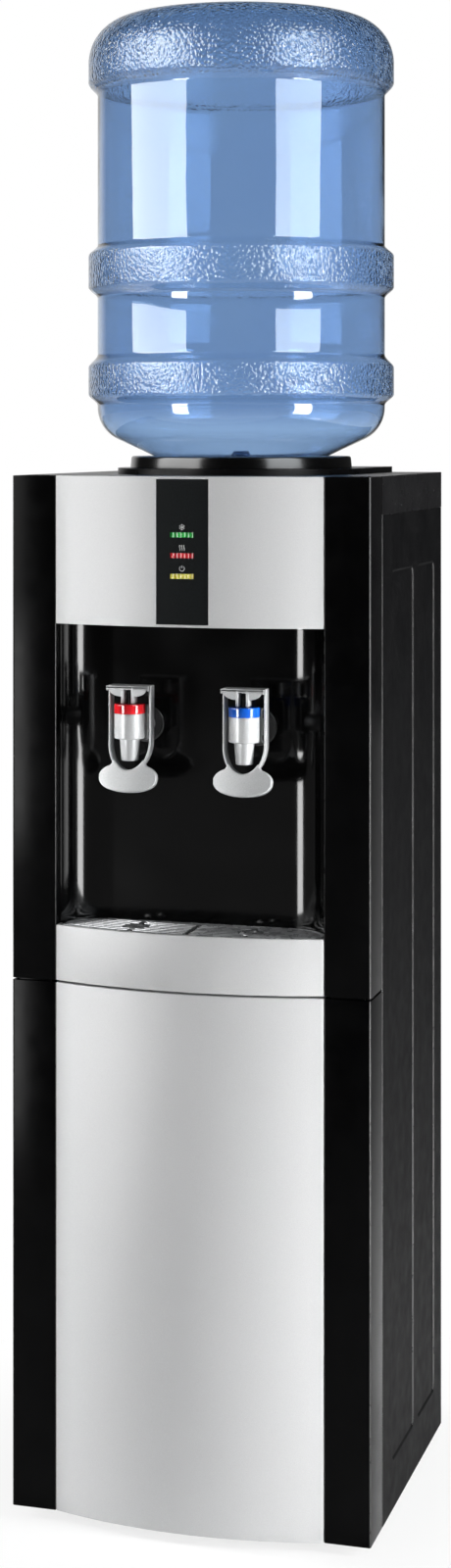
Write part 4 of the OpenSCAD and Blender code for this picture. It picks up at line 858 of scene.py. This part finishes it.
class COOLER_OT_indicators(Operator):
    """Builds the black indicator strip, its three lenses, the marks above them and the board behind"""
    bl_idname = "cooler.indicators"
    bl_label = "Indicators"

    def execute(self, context):
        x = stations(np.linspace(-STRIP_HALF, STRIP_HALF, 31), [-LENS_HALF, LENS_HALF])
        z = stations([Z_NICHE + 2.2, Z_TOP - 2.2], [z + s * LENS_H / 2 for z in LENS_Z for s in (-1, 1)])

        def keep(a, b):
            return ~np.any([(abs(a) < LENS_HALF) & (abs(b - level) < LENS_H / 2) for level in LENS_Z], axis=0)

        def face(a, b):
            return np.stack([a, bow_y(a, 0.2) + 0.22 * (1 - np.cos(2 * math.pi * a / 3.3)) / 2, b], -1)

        add_piece("indicator_plate", plate(x, z, keep, *bowed_faces(0.4, WALL + 0.4)), "strip_grain",
                  "indicator_strip", bevel=0.2)
        xl = np.linspace(-LENS_HALF + 0.1, LENS_HALF - 0.1, 81)
        for node, colour, level in zip(("cooling_lens", "heating_lens", "power_lens"), LENSES, LENS_Z):
            zl = level + np.linspace(-1, 1, 5) * (LENS_H / 2 - 0.1)
            lens = plate(xl, zl, everywhere, face, bowed_faces(0, WALL + 2)[1])
            add_piece(node + "_prism", lens, "lens_" + colour, node, crease=50)
        marks = [mark(z + MARK_RISE) for mark, z in zip((snowflake, warmth, power_mark), LENS_Z)]
        add_piece("indicator_marks", join(*marks), "print_white", "indicator_strip", hide=())
        refine("indicator_board", "board", "board_green", 0.15)
        return {"FINISHED"}


# ---------------------------------------------------------------- tray and grille

def tray_outline(shrink):
    """Plan of the tray's pocket: a bowed front, straight sides and rounded rear corners, drawn in by shrink."""
    side, r = PANEL_HALF - WALL - CLEAR - shrink, NICHE_R - shrink
    x = np.linspace(-side, side, 60)
    a = np.radians(np.linspace(0, 90, 25))
    arc = np.stack([ARC_X + r * np.cos(a), ARC_Y + r * np.sin(a)], 1)
    right = np.concatenate([[[side, ARC_Y + math.sqrt(max(r * r - (side - ARC_X) ** 2, 0))]], arc[arc[:, 0] < side]])
    return np.concatenate([np.stack([x, bow_y(x, WALL + shrink)], 1), right, right[::-1] * [-1, 1]])


def slat_paths(count):
    """Middle lines of the grille's slats: the bow's circle moved back by a pitch each."""
    clear, rim, into = 0.9, 3.0, 1.2
    pitch = (NICHE_DEPTH + BOW - WALL - 2 * clear - 2 * rim + 1) / (count + 1)
    half = PANEL_HALF - WALL - CLEAR - clear - into
    x = np.linspace(-half, half, 181)
    for i in range(1, count + 1):
        y = bow_y(x, WALL + clear + rim - 1) + i * pitch
        in_arc = np.hypot(abs(x) - ARC_X, y - ARC_Y) < NICHE_R - clear - into
        inside = (y < Y_WALL - clear - 1) & ((abs(x) < ARC_X) | (y < ARC_Y) | in_arc)
        yield np.stack([x[inside], y[inside]], 1)


class COOLER_OT_tray(Operator):
    """Builds the drip tray and the slatted grille with its two round targets"""
    bl_idname = "cooler.tray"
    bl_label = "Drip tray and grille"

    def execute(self, context):
        refine("drip_tray", "satin_black", "black_satin", 0.6)
        count, y_target, cut_half = 220, Y_FRONT + 16, 1.4
        section = ((0.9, -5.0), (0.9, -0.7), (1.5, 0.0), (3.3, 0.0), (3.9, -0.6), (3.9, -5.0))
        rings = [np.concatenate([resample(tray_outline(shrink), count), np.full((count, 1), Z_GRILLE + z)], 1)
                 for shrink, z in section]
        parts, ribs = [(np.concatenate(rings), [grid_faces(len(rings), count, True, True)])], []
        for path in slat_paths(context.scene.cooler_taps.slats):
            off = abs(abs(path[:, 0]) - TAP_X)
            cut = (np.hypot(off, path[:, 1] - y_target) < 10.9) | (off < cut_half) | (abs(path[:, 0]) < cut_half)
            for run in np.split(np.arange(len(path)), np.flatnonzero(np.diff(cut.astype(int))) + 1):
                if not cut[run[0]] and len(run) > 2:
                    p = np.concatenate([path[run], np.full((len(run), 1), Z_GRILLE - 1.5)], 1)
                    parts.append(sweep(p, box_section(2.0, 3.0, 0.6, 3)))
        for x in (-TAP_X, 0, TAP_X):
            y0, y1 = bow_y(x, WALL + 2.5), Y_WALL - 2.4
            ends = [(y0, y_target - 9), (y_target + 9, y1)] if x else [(y0, y1)]
            ribs += [bar([x - 1.5, a, Z_GRILLE - 4.4], [x + 1.5, b, Z_GRILLE - 1.6]) for a, b in ends]
        target = rounded([[0, -3.4], [9.6, -3.4], [9.6, -1.4], [7.4, 0], [5.0, 0], [2.6, -1.5], [0, -1.5]],
                         [0.01, 0.3, 0.9, 1.6, 1.6, 1.6, 0.01], 6, False)
        parts += [moved(lathe(target, 72), shift=(x, y_target, Z_GRILLE)) for x in (-TAP_X, TAP_X)]
        add_piece("grille_cross_ribs", join(*ribs), "satin_black", "drip_grille", hide=())
        add_piece("slatted_grille", join(*parts), "grille_silver", "drip_grille")
        return {"FINISHED"}


def resample(loop, count):
    """A closed loop at even steps of its length."""
    closed = np.concatenate([loop, loop[:1]])
    length = np.concatenate([[0], np.cumsum(np.linalg.norm(np.diff(closed, axis=0), axis=1))])
    s = np.linspace(0, length[-1], count, endpoint=False)
    return np.stack([np.interp(s, length, closed[:, k]) for k in range(loop.shape[1])], 1)


# ---------------------------------------------------------------- taps

TAP_X, Y_TAP = 49.5, Y_WALL - 45
SHANK_Z, BARREL_Z, BARREL_TOP, RING_TOP = Z_GRILLE + 167, Z_GRILLE + 159, Z_GRILLE + 180, Z_GRILLE + 188
PLATE_Z, BEND_Z = RING_TOP + 15, BARREL_Z - 2
BARREL_R = 12.95


def tap_barrel():
    """The barrel, its hollow nozzle, the shank and the yoke behind, about the tap's axis."""
    barrel = lathe(rounded([[5, BARREL_Z], [BARREL_R, BARREL_Z], [BARREL_R, BARREL_TOP], [5, BARREL_TOP]],
                           [0.01, 1.2, 0.5, 0.01], 5, False), 96)
    neck = lathe([[0, BARREL_TOP - 1], [10.9, BARREL_TOP - 1], [10.9, RING_TOP - 2.3], [0, RING_TOP - 2.3]], 64)
    z0 = BARREL_Z - 18.3
    nozzle = lathe(rounded([[5, BARREL_Z + 1], [5, z0], [7.15, z0], [8.55, BARREL_Z + 1]], [0.01, 0.5, 0.8, 0.01], 5,
                           False), 64)
    shank = moved(lathe([[0, 4], [8, 4], [8, 59.5], [6.5, 59.5], [6.5, 65.5], [0, 65.5]], 48), ALONG_Y, (0, 0, SHANK_Z))
    half, low, high = 11.9, BARREL_Z - 2, RING_TOP - 2
    yoke = [bar([-half, 11.2, z0], [half, y1, z1], 0.5)
            for y1, z0, z1 in ((BARREL_R, low, high), (15.9, low, low + 2), (15.9, high - 2, high))]
    return join(barrel, neck, nozzle, shank, *yoke)


def tap_ring():
    """The coloured screw ring."""
    profile = [[2.55, RING_TOP - 2], [2.55, RING_TOP], [13.15, RING_TOP], [13.15, BARREL_TOP + 0.1],
               [11.15, BARREL_TOP + 0.1], [11.15, RING_TOP - 2]]
    return lathe(rounded(profile, [0.1, 0.2, 0.9, 0.3, 0.1, 0.1], 5), 96, wrap=True)


def paddle(crown):
    """The oval paddle below the loop. Its rim is an oval of power 2.3 that follows the loop's opening at the top,
    and its front is y = -crown (1 - (x / a)^2) with a rim that rolls back over a round edge."""
    a, b, thick, skirt = 25.0, 12.15, 2.5, 5.5
    u, power = np.sin(np.linspace(-math.pi / 2, math.pi / 2, 73)) * 0.9995, 2.3
    x, top = a * u, b * (1 - abs(u) ** power) ** (1 / power)
    low = -top
    opening = 30.5 - 24.5 * np.sqrt(np.clip(1 - (x / 16.7) ** 2, 0, 1))
    opening = np.where(abs(x) < 16.6, opening, 99)
    fillet = top + 4.6 * np.clip((15.6 - abs(x)) / 3.0, 0, 1) ** 1.8
    high = np.minimum(fillet, opening + 0.6)
    v = np.linspace(0, 1, 33)
    s = (1 - np.cos(math.pi * v)) / 2
    z = low[:, None] + (high - low)[:, None] * s[None]
    edge = np.minimum(s, 1 - s)[None] * (high - low)[:, None]
    edge = np.minimum(edge, (a - abs(x))[:, None] * 1.6)
    roll = np.sqrt(np.clip(1 - (1 - np.clip(edge / 1.6, 0, 1)) ** 2, 0, 1))
    face = -crown * (1 - (x[:, None] / a) ** 2) * np.ones_like(z) + 1.3 * (1 - roll)
    xx, back = np.broadcast_to(x[:, None], z.shape), np.where(edge < 1.4, skirt, thick)
    points = np.concatenate([np.stack([xx, y, z], -1).reshape(-1, 3) for y in (face, back)])
    index = np.arange(z.size).reshape(z.shape)
    loop = np.concatenate([index[0, :], index[1:, -1], index[-1, -2::-1], index[-2:0, 0]])
    rim = np.stack([loop, np.roll(loop, -1), np.roll(loop, -1) + z.size, loop + z.size], 1)
    cells = grid_faces(*z.shape)
    return points, [cells, cells[:, ::-1] + z.size, rim]


def lean(part):
    """Turns the lower part of the lever forward by 12 degrees about the bend of its arms."""
    t = math.radians(-12)
    turn = [[1, 0, 0], [0, math.cos(t), -math.sin(t)], [0, math.sin(t), math.cos(t)]]
    return moved(part, turn, (0, -1, BEND_Z))


def tap_lever(crown):
    """The lever: a plate, a web and two cam prongs in front, and arms that run down into the loop and paddle."""
    y_bar, y_rear, half, waist = -BARREL_R + 5.5, -BARREL_R + 8.5, 18.5, 14.1
    plan = [[-half, y_bar], [half, y_bar], [half, y_rear], [waist, y_rear], [waist, -1], [half, -1],
            [half, 9], [-half, 9], [-half, -1], [-waist, -1], [-waist, y_rear], [-half, y_rear]]
    top = prism(rounded(plan, [0.6, 0.6, 0.5, 2, 2, 0.5, 1, 1, 0.5, 2, 2, 0.5], 4), PLATE_Z - 2.5, PLATE_Z, 0.5)
    front = join(bar([-half, y_bar, PLATE_Z - 3.2], [half, y_rear, PLATE_Z - 0.1], 0.6),
                 mirrored(bar([half - 1.6, y_bar, PLATE_Z - 4.1], [half, y_rear, PLATE_Z - 0.1], 0.6)))
    t = np.sin(np.linspace(0, math.pi / 2, 13))
    bowl = np.stack([5.6 + 10.6 * t, -2.2 - 6.2 * np.sqrt(1 - t ** 2)], 1)
    web_outline = np.concatenate([[[3.2, 0.0], [3.2, -8.4]], bowl, [[half - 2.3, 0.0]]])
    web = mirrored(moved(prism(web_outline, 0, 1.6, 0.25, 2), ALONG_Y, (0, y_bar + 0.6, PLATE_Z - 0.5)))
    prongs = mirrored(bar([3.1, y_bar - 0.05, RING_TOP + 0.3], [5.6, 3.4, PLATE_Z - 0.6], 0.8))
    t = np.radians(np.linspace(180, 360, 61))
    loop = np.stack([17.6 * np.cos(t), 5 + 0 * t, 25.4 * np.sin(t)], 1)
    arm = np.array([[-17.6, 4, PLATE_Z - 1.4], [-17.6, 4, BEND_Z + 6]])
    lower = lean((loop, []))[0]
    path = np.concatenate([arm, lower, arm[::-1] * [-1, 1, 1]])
    smooth = path.copy()
    smooth[1:-1] = (path[:-2] + 2 * path[1:-1] + path[2:]) / 4
    arms = sweep(smooth, box_section(1.9, 10, 0.8, 3), (0, 1, 0))
    face = moved(paddle(crown), shift=(0, 0, -30.5))
    return join(top, front, web, prongs, arms, lean(face))


class COOLER_OT_taps(Operator):
    """Builds both taps with their rings, levers, stems, seals, springs and pins, and the rosettes and nuts"""
    bl_idname = "cooler.taps"
    bl_label = "Taps"

    def execute(self, context):
        crown = context.scene.cooler_taps.paddle_crown * 1000
        stem = lathe(rounded([[0, 665.5], [2.5, 665.5], [2.5, 699], [0, 699]], [0.01, 0.3, 0.5, 0.01], 3, False), 32)
        for kind, x, ring in (("hot", -TAP_X, "ring_red"), ("cold", TAP_X, "ring_blue")):
            low, high = low_high(kind + "_tap_spring")
            rows = (("_barrel", tap_barrel(), "tap_silver", "_tap_body", "tap_silver"),
                    ("_screw_ring", tap_ring(), ring, "_tap_ring", ring),
                    ("_push_lever", tap_lever(crown), "tap_silver", "_tap_lever", "tap_silver"),
                    ("_valve_rod", stem, "satin_black", "_tap_stem", "black_satin"),
                    ("_valve_spring", helix(6, low[2] + 0.5, high[2] - 0.5, 7, 16, circle_section(0.45, 8)),
                     "steel", "_tap_spring", "steel_wire"))
            for name, part, look, node, slot in rows:
                piece = add_piece(kind + name, moved(part, shift=(x, Y_TAP, 0)), look, kind + node)
            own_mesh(piece)
            dress(kind + "_tap_seal", "silicone")
            dress(kind + "_lever_pin", "steel")
        disc = rounded([[8.2, 0], [16, 0], [16, 2.2], [14.4, 2.2], [13.6, 1.4], [8.2, 2.0]],
                       [0.1, 0.2, 0.7, 0.4, 0.5, 0.3], 5)
        flip = [[1, 0, 0], [0, 0, -1], [0, 1, 0]]
        one = moved(lathe(disc, 96, wrap=True), flip, (TAP_X, Y_WALL - 0.2, SHANK_Z))
        add_piece("wall_rosettes", mirrored(one), "smoke", "rosettes")
        refine("tap_nuts", "white_nylon", "white_plastic", 0.4)
        return {"FINISHED"}


# ---------------------------------------------------------------- inside and rear

def helix(radius, z0, z1, turns, steps, section):
    """A wound tube: at share s of its length its middle is (r cos a, r sin a, z0 + s (z1 - z0)), a = 2 pi turns s."""
    s = np.linspace(0, 1, turns * steps)
    a = 2 * math.pi * turns * s
    return sweep(np.stack([radius * np.cos(a), radius * np.sin(a), z0 + (z1 - z0) * s], 1), section)


class COOLER_OT_inside(Operator):
    """Finishes the water guard, the tanks with their foam, heater and shelves, and the hoses"""
    bl_idname = "cooler.inside"
    bl_label = "Water path"

    def execute(self, context):
        refine_all(("water_guard", "guard_plastic", "guard_plastic", 0.4), ("cold_tank", "steel", "steel_wire", 0.5),
                   ("hot_tank", "steel", "steel_wire", 0.5), ("cold_tank_foam", "foam", "foam", 1.2),
                   ("hot_tank_foam", "foam", "foam", 1.2))
        (low, high), pipe_r = low_high("evaporator"), 3.5
        coil = helix((high[0] - low[0]) / 2 - pipe_r, low[2] + pipe_r, high[2] - pipe_r, 9, 40,
                     circle_section(pipe_r - 0.1, 12))
        add_piece("evaporator_coil", moved(coil, shift=(0, Y_BOTTLE, 0)), "copper", "evaporator")
        refine_all(("tank_heater", "zinc", "zinc_steel", 0.4), ("tank_shelves", "zinc", "zinc_steel", 0.2))
        dress("hoses", "silicone")
        return {"FINISHED"}


class COOLER_OT_rear(Operator):
    """Builds the compressor, the condenser, the pipes, the switches, the gland and the drain"""
    bl_idname = "cooler.rear"
    bl_label = "Cooling circuit and rear"

    def execute(self, context):
        refine_all(("compressor", "coil_black", "black_steel", 0.8),
                   ("compressor_mounts", "rubber", "black_rubber", 0.6),
                   ("relay_cover", "satin_black", "black_satin", 1.5, 3), ("filter_drier", "copper", "copper", 1.5, 3),
                   ("refrigerant_pipes", "copper", "copper", 0), ("condenser_tube", "coil_black", "black_steel", 0),
                   ("condenser_wires", "coil_black", "black_steel", 0),
                   ("switch_housing", "satin_black", "black_satin", 0.5),
                   ("cooling_rocker", "rocker_green", "rocker_green", 0.4),
                   ("heating_rocker", "rocker_red", "rocker_red", 0.4),
                   ("cable_gland", "satin_black", "black_satin", 0.6),
                   ("drain_outlet", "white_nylon", "white_plastic", 0.5),
                   ("drain_cap", "satin_black", "black_satin", 0.4))
        return {"FINISHED"}


# ---------------------------------------------------------------- stage

# The camera solved from the photograph's vanishing lines: its place in metres, its turn in degrees and its shift.
CAMERA_AT, CAMERA_TURN, CAMERA_SHIFT = (0.640, -2.214, 0.9135), 16.35, -0.2244
# Heights of the soft boxes and their distance from the axis, in metres.
STRIP_TOP, WIDE_LOW, WIDE_TOP, LAMP_R = 0.84, 0.95, 2.9, 2.4


def soft_box(name, azimuth, distance, width, low, high, radiance, foot=1.0, tint=(1, 1, 1), glossy_only=True):
    """A rectangular lamp round the cooler at an azimuth from the front, facing the axis. Its brightness falls
    evenly to foot times its radiance at its lower edge."""
    data = bpy.data.lights.new(name, "AREA")
    data.shape, data.size, data.size_y, data.color = "RECTANGLE", width, high - low, tint
    data.energy = radiance * math.pi * width * (high - low)
    lamp = new_object(name, data)
    a = math.radians(azimuth)
    lamp.location = (distance * math.sin(a), -distance * math.cos(a), (low + high) / 2)
    lamp.rotation_euler = (math.radians(90), 0, a)
    lamp.visible_camera = False
    if foot < 1:
        data.use_nodes = True
        tree = data.node_tree
        up = node_of(tree, "SeparateXYZ", node_of(tree, "NewGeometry").outputs["Parametric"]).outputs["Y"]
        glow = next(n for n in tree.nodes if n.type == "EMISSION")
        tree.links.new(ramp(tree, up, 0.0, 1.0, foot, 1.0), glow.inputs["Strength"])
    if glossy_only:
        lamp.visible_diffuse = False
    else:
        lamp.visible_glossy = lamp.visible_transmission = False


def seen_rays(tree, *kinds):
    """1 for a ray of one of the kinds, otherwise 0."""
    path = node_of(tree, "LightPath")
    return largest(tree, [path.outputs[kind] for kind in kinds])


def room(level):
    """White for the camera and through glass. Reflections see a pale grey round one direction behind the cooler
    and nearly black elsewhere, and matt surfaces get a plain level."""
    world = bpy.data.worlds.new("studio")
    bpy.context.scene.world = world
    world.use_nodes = True
    tree = world.node_tree
    tree.nodes.clear()
    behind, edge, middle, elsewhere = (-0.5, 0.866, 0.0), 0.86, 0.975, 0.04
    facing = node_of(tree, "VectorMath", node_of(tree, "TexCoord").outputs["Generated"], behind,
                     operation="DOT_PRODUCT")
    mirror = ramp(tree, facing.outputs["Value"], edge, middle, elsewhere, 1.0, "SMOOTHSTEP")
    white, matt, shine = [node_of(tree, "Background", Color=(tone, tone, tone, 1), Strength=strength).outputs[0]
                          for tone, strength in ((1, 1.0), (1, level), (0.8, mirror))]
    lit = node_of(tree, "MixShader", seen_rays(tree, "Is Glossy Ray"), matt, shine)
    both = node_of(tree, "MixShader", seen_rays(tree, "Is Camera Ray", "Is Transmission Ray"), lit.outputs[0], white)
    node_of(tree, "OutputWorld", both.outputs[0])


def floor_finish():
    """Pale matt floor that turns to plain white away from the cooler, and keeps its shadow. Reflections see only a
    small share of that white."""
    material, tree, shader = new_material("pale_floor")
    feed(tree, shader, roughness=0.9, specular_ior_level=0.1,
         base_color=two_tone(tree, noise(tree, 3, 3.0), (0.8, 0.8, 0.8), (0.84, 0.84, 0.84), 0, 1))
    glow = node_of(tree, "Emission", Color=(1, 1, 1, 1), Strength=1.0)
    length = node_of(tree, "VectorMath", object_place(tree), operation="LENGTH").outputs["Value"]
    near, far, under, mirrored_share = 0.15, 0.4, 0.8, 0.03
    fade = ramp(tree, length, near, far, under, 1.0, "SMOOTHSTEP")
    dim = math_of(tree, "MULTIPLY", seen_rays(tree, "Is Glossy Ray"), mirrored_share)
    kinds = largest(tree, [seen_rays(tree, "Is Camera Ray", "Is Transmission Ray"), dim])
    mix = node_of(tree, "MixShader", math_of(tree, "MULTIPLY", kinds, fade), shader.outputs[0], glow.outputs[0])
    tree.links.new(mix.outputs[0], tree.nodes["Material Output"].inputs["Surface"])
    return material


class COOLER_OT_stage(Operator):
    """Builds the camera, the soft boxes, the room and the pale floor"""
    bl_idname = "cooler.stage"
    bl_label = "Stage"

    def execute(self, context):
        look = context.scene.cooler_stage
        data = bpy.data.cameras.new("camera")
        data.lens, data.sensor_width, data.sensor_fit = look.lens, 36.0, "AUTO"
        data.shift_x, data.shift_y, data.clip_end = 0.0, CAMERA_SHIFT, 50
        data.dof.use_dof = False
        camera = new_object("camera", data)
        camera.location = CAMERA_AT
        camera.rotation_euler = (math.radians(90), 0, math.radians(CAMERA_TURN))
        context.scene.camera = camera
        context.scene.view_settings.view_transform = "Standard"
        room(look.room)
        strip, wide, fill = look.strip_light, look.wide_light, look.fill
        for row in (("strip_left", -33, LAMP_R, 0.57, 0.0, STRIP_TOP, strip),
                    ("strip_right", 65.5, LAMP_R, 0.63, 0.0, STRIP_TOP, strip),
                    ("wide_left", -53, LAMP_R, 2.34, WIDE_LOW, WIDE_TOP, wide, 0.6),
                    ("wide_right", 61.5, LAMP_R, 1.61, WIDE_LOW, WIDE_TOP, wide * 0.95, 0.6, (0.93, 0.97, 1.0)),
                    ("side_left", -86, 1.6, 0.2, 0.0, WIDE_LOW, fill, 1.0, (1, 1, 1), False),
                    ("side_right", 83, 1.6, 0.3, 0.0, WIDE_LOW, fill * 0.92, 1.0, (1, 1, 1), False)):
            soft_box(*row)
        top = bpy.data.lights.new("top_light", "AREA")
        top.shape, top.size, top.size_y, top.energy = "RECTANGLE", 1.6, 1.6, 5
        lamp = new_object("top_light", top)
        lamp.location = (0, -0.4, 3.0)
        lamp.visible_camera = lamp.visible_glossy = lamp.visible_transmission = False
        mesh, cells = bpy.data.meshes.new("floor"), 12
        u, v = np.meshgrid(*[np.linspace(-6, 6, cells + 1)] * 2, indexing="ij")
        points = np.stack([u, v, 0 * u], -1).reshape(-1, 3)
        mesh.from_pydata(points.tolist(), [], grid_faces(cells + 1, cells + 1).tolist())
        mesh.materials.append(floor_finish())
        new_object("floor", mesh)
        return {"FINISHED"}


# ---------------------------------------------------------------- add-on

class COOLER_PT_panel(Panel):
    """Lists the steps that build the cooler"""
    bl_label = "Water cooler"
    bl_idname = "COOLER_PT_panel"
    bl_space_type = "VIEW_3D"
    bl_region_type = "UI"
    bl_category = "Water cooler"

    def draw(self, context):
        layout = self.layout
        for group in GROUPS:
            box = layout.box()
            settings = getattr(context.scene, GROUPS[group])
            for key in group.__annotations__:
                box.prop(settings, key)
        for operator in OPERATORS:
            layout.operator(operator.bl_idname)


GROUPS = {CoolerBottle: "cooler_bottle", CoolerCabinet: "cooler_cabinet", CoolerTaps: "cooler_taps",
          CoolerStage: "cooler_stage"}
OPERATORS = [COOLER_OT_stage, COOLER_OT_bottle, COOLER_OT_cabinet, COOLER_OT_front, COOLER_OT_indicators,
             COOLER_OT_tray, COOLER_OT_taps, COOLER_OT_inside, COOLER_OT_rear]


def register():
    for item in [*GROUPS, *OPERATORS, COOLER_PT_panel]:
        bpy.utils.register_class(item)
    for group, name in GROUPS.items():
        setattr(bpy.types.Scene, name, PointerProperty(type=group))


def unregister():
    for name in GROUPS.values():
        delattr(bpy.types.Scene, name)
    for item in reversed([*GROUPS, *OPERATORS, COOLER_PT_panel]):
        bpy.utils.unregister_class(item)


def main():
    """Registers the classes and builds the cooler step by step."""
    register()
    make_finishes()
    for operator in OPERATORS:
        group, name = operator.bl_idname.split(".")
        getattr(getattr(bpy.ops, group), name)()


if __name__ == "__main__":
    main()
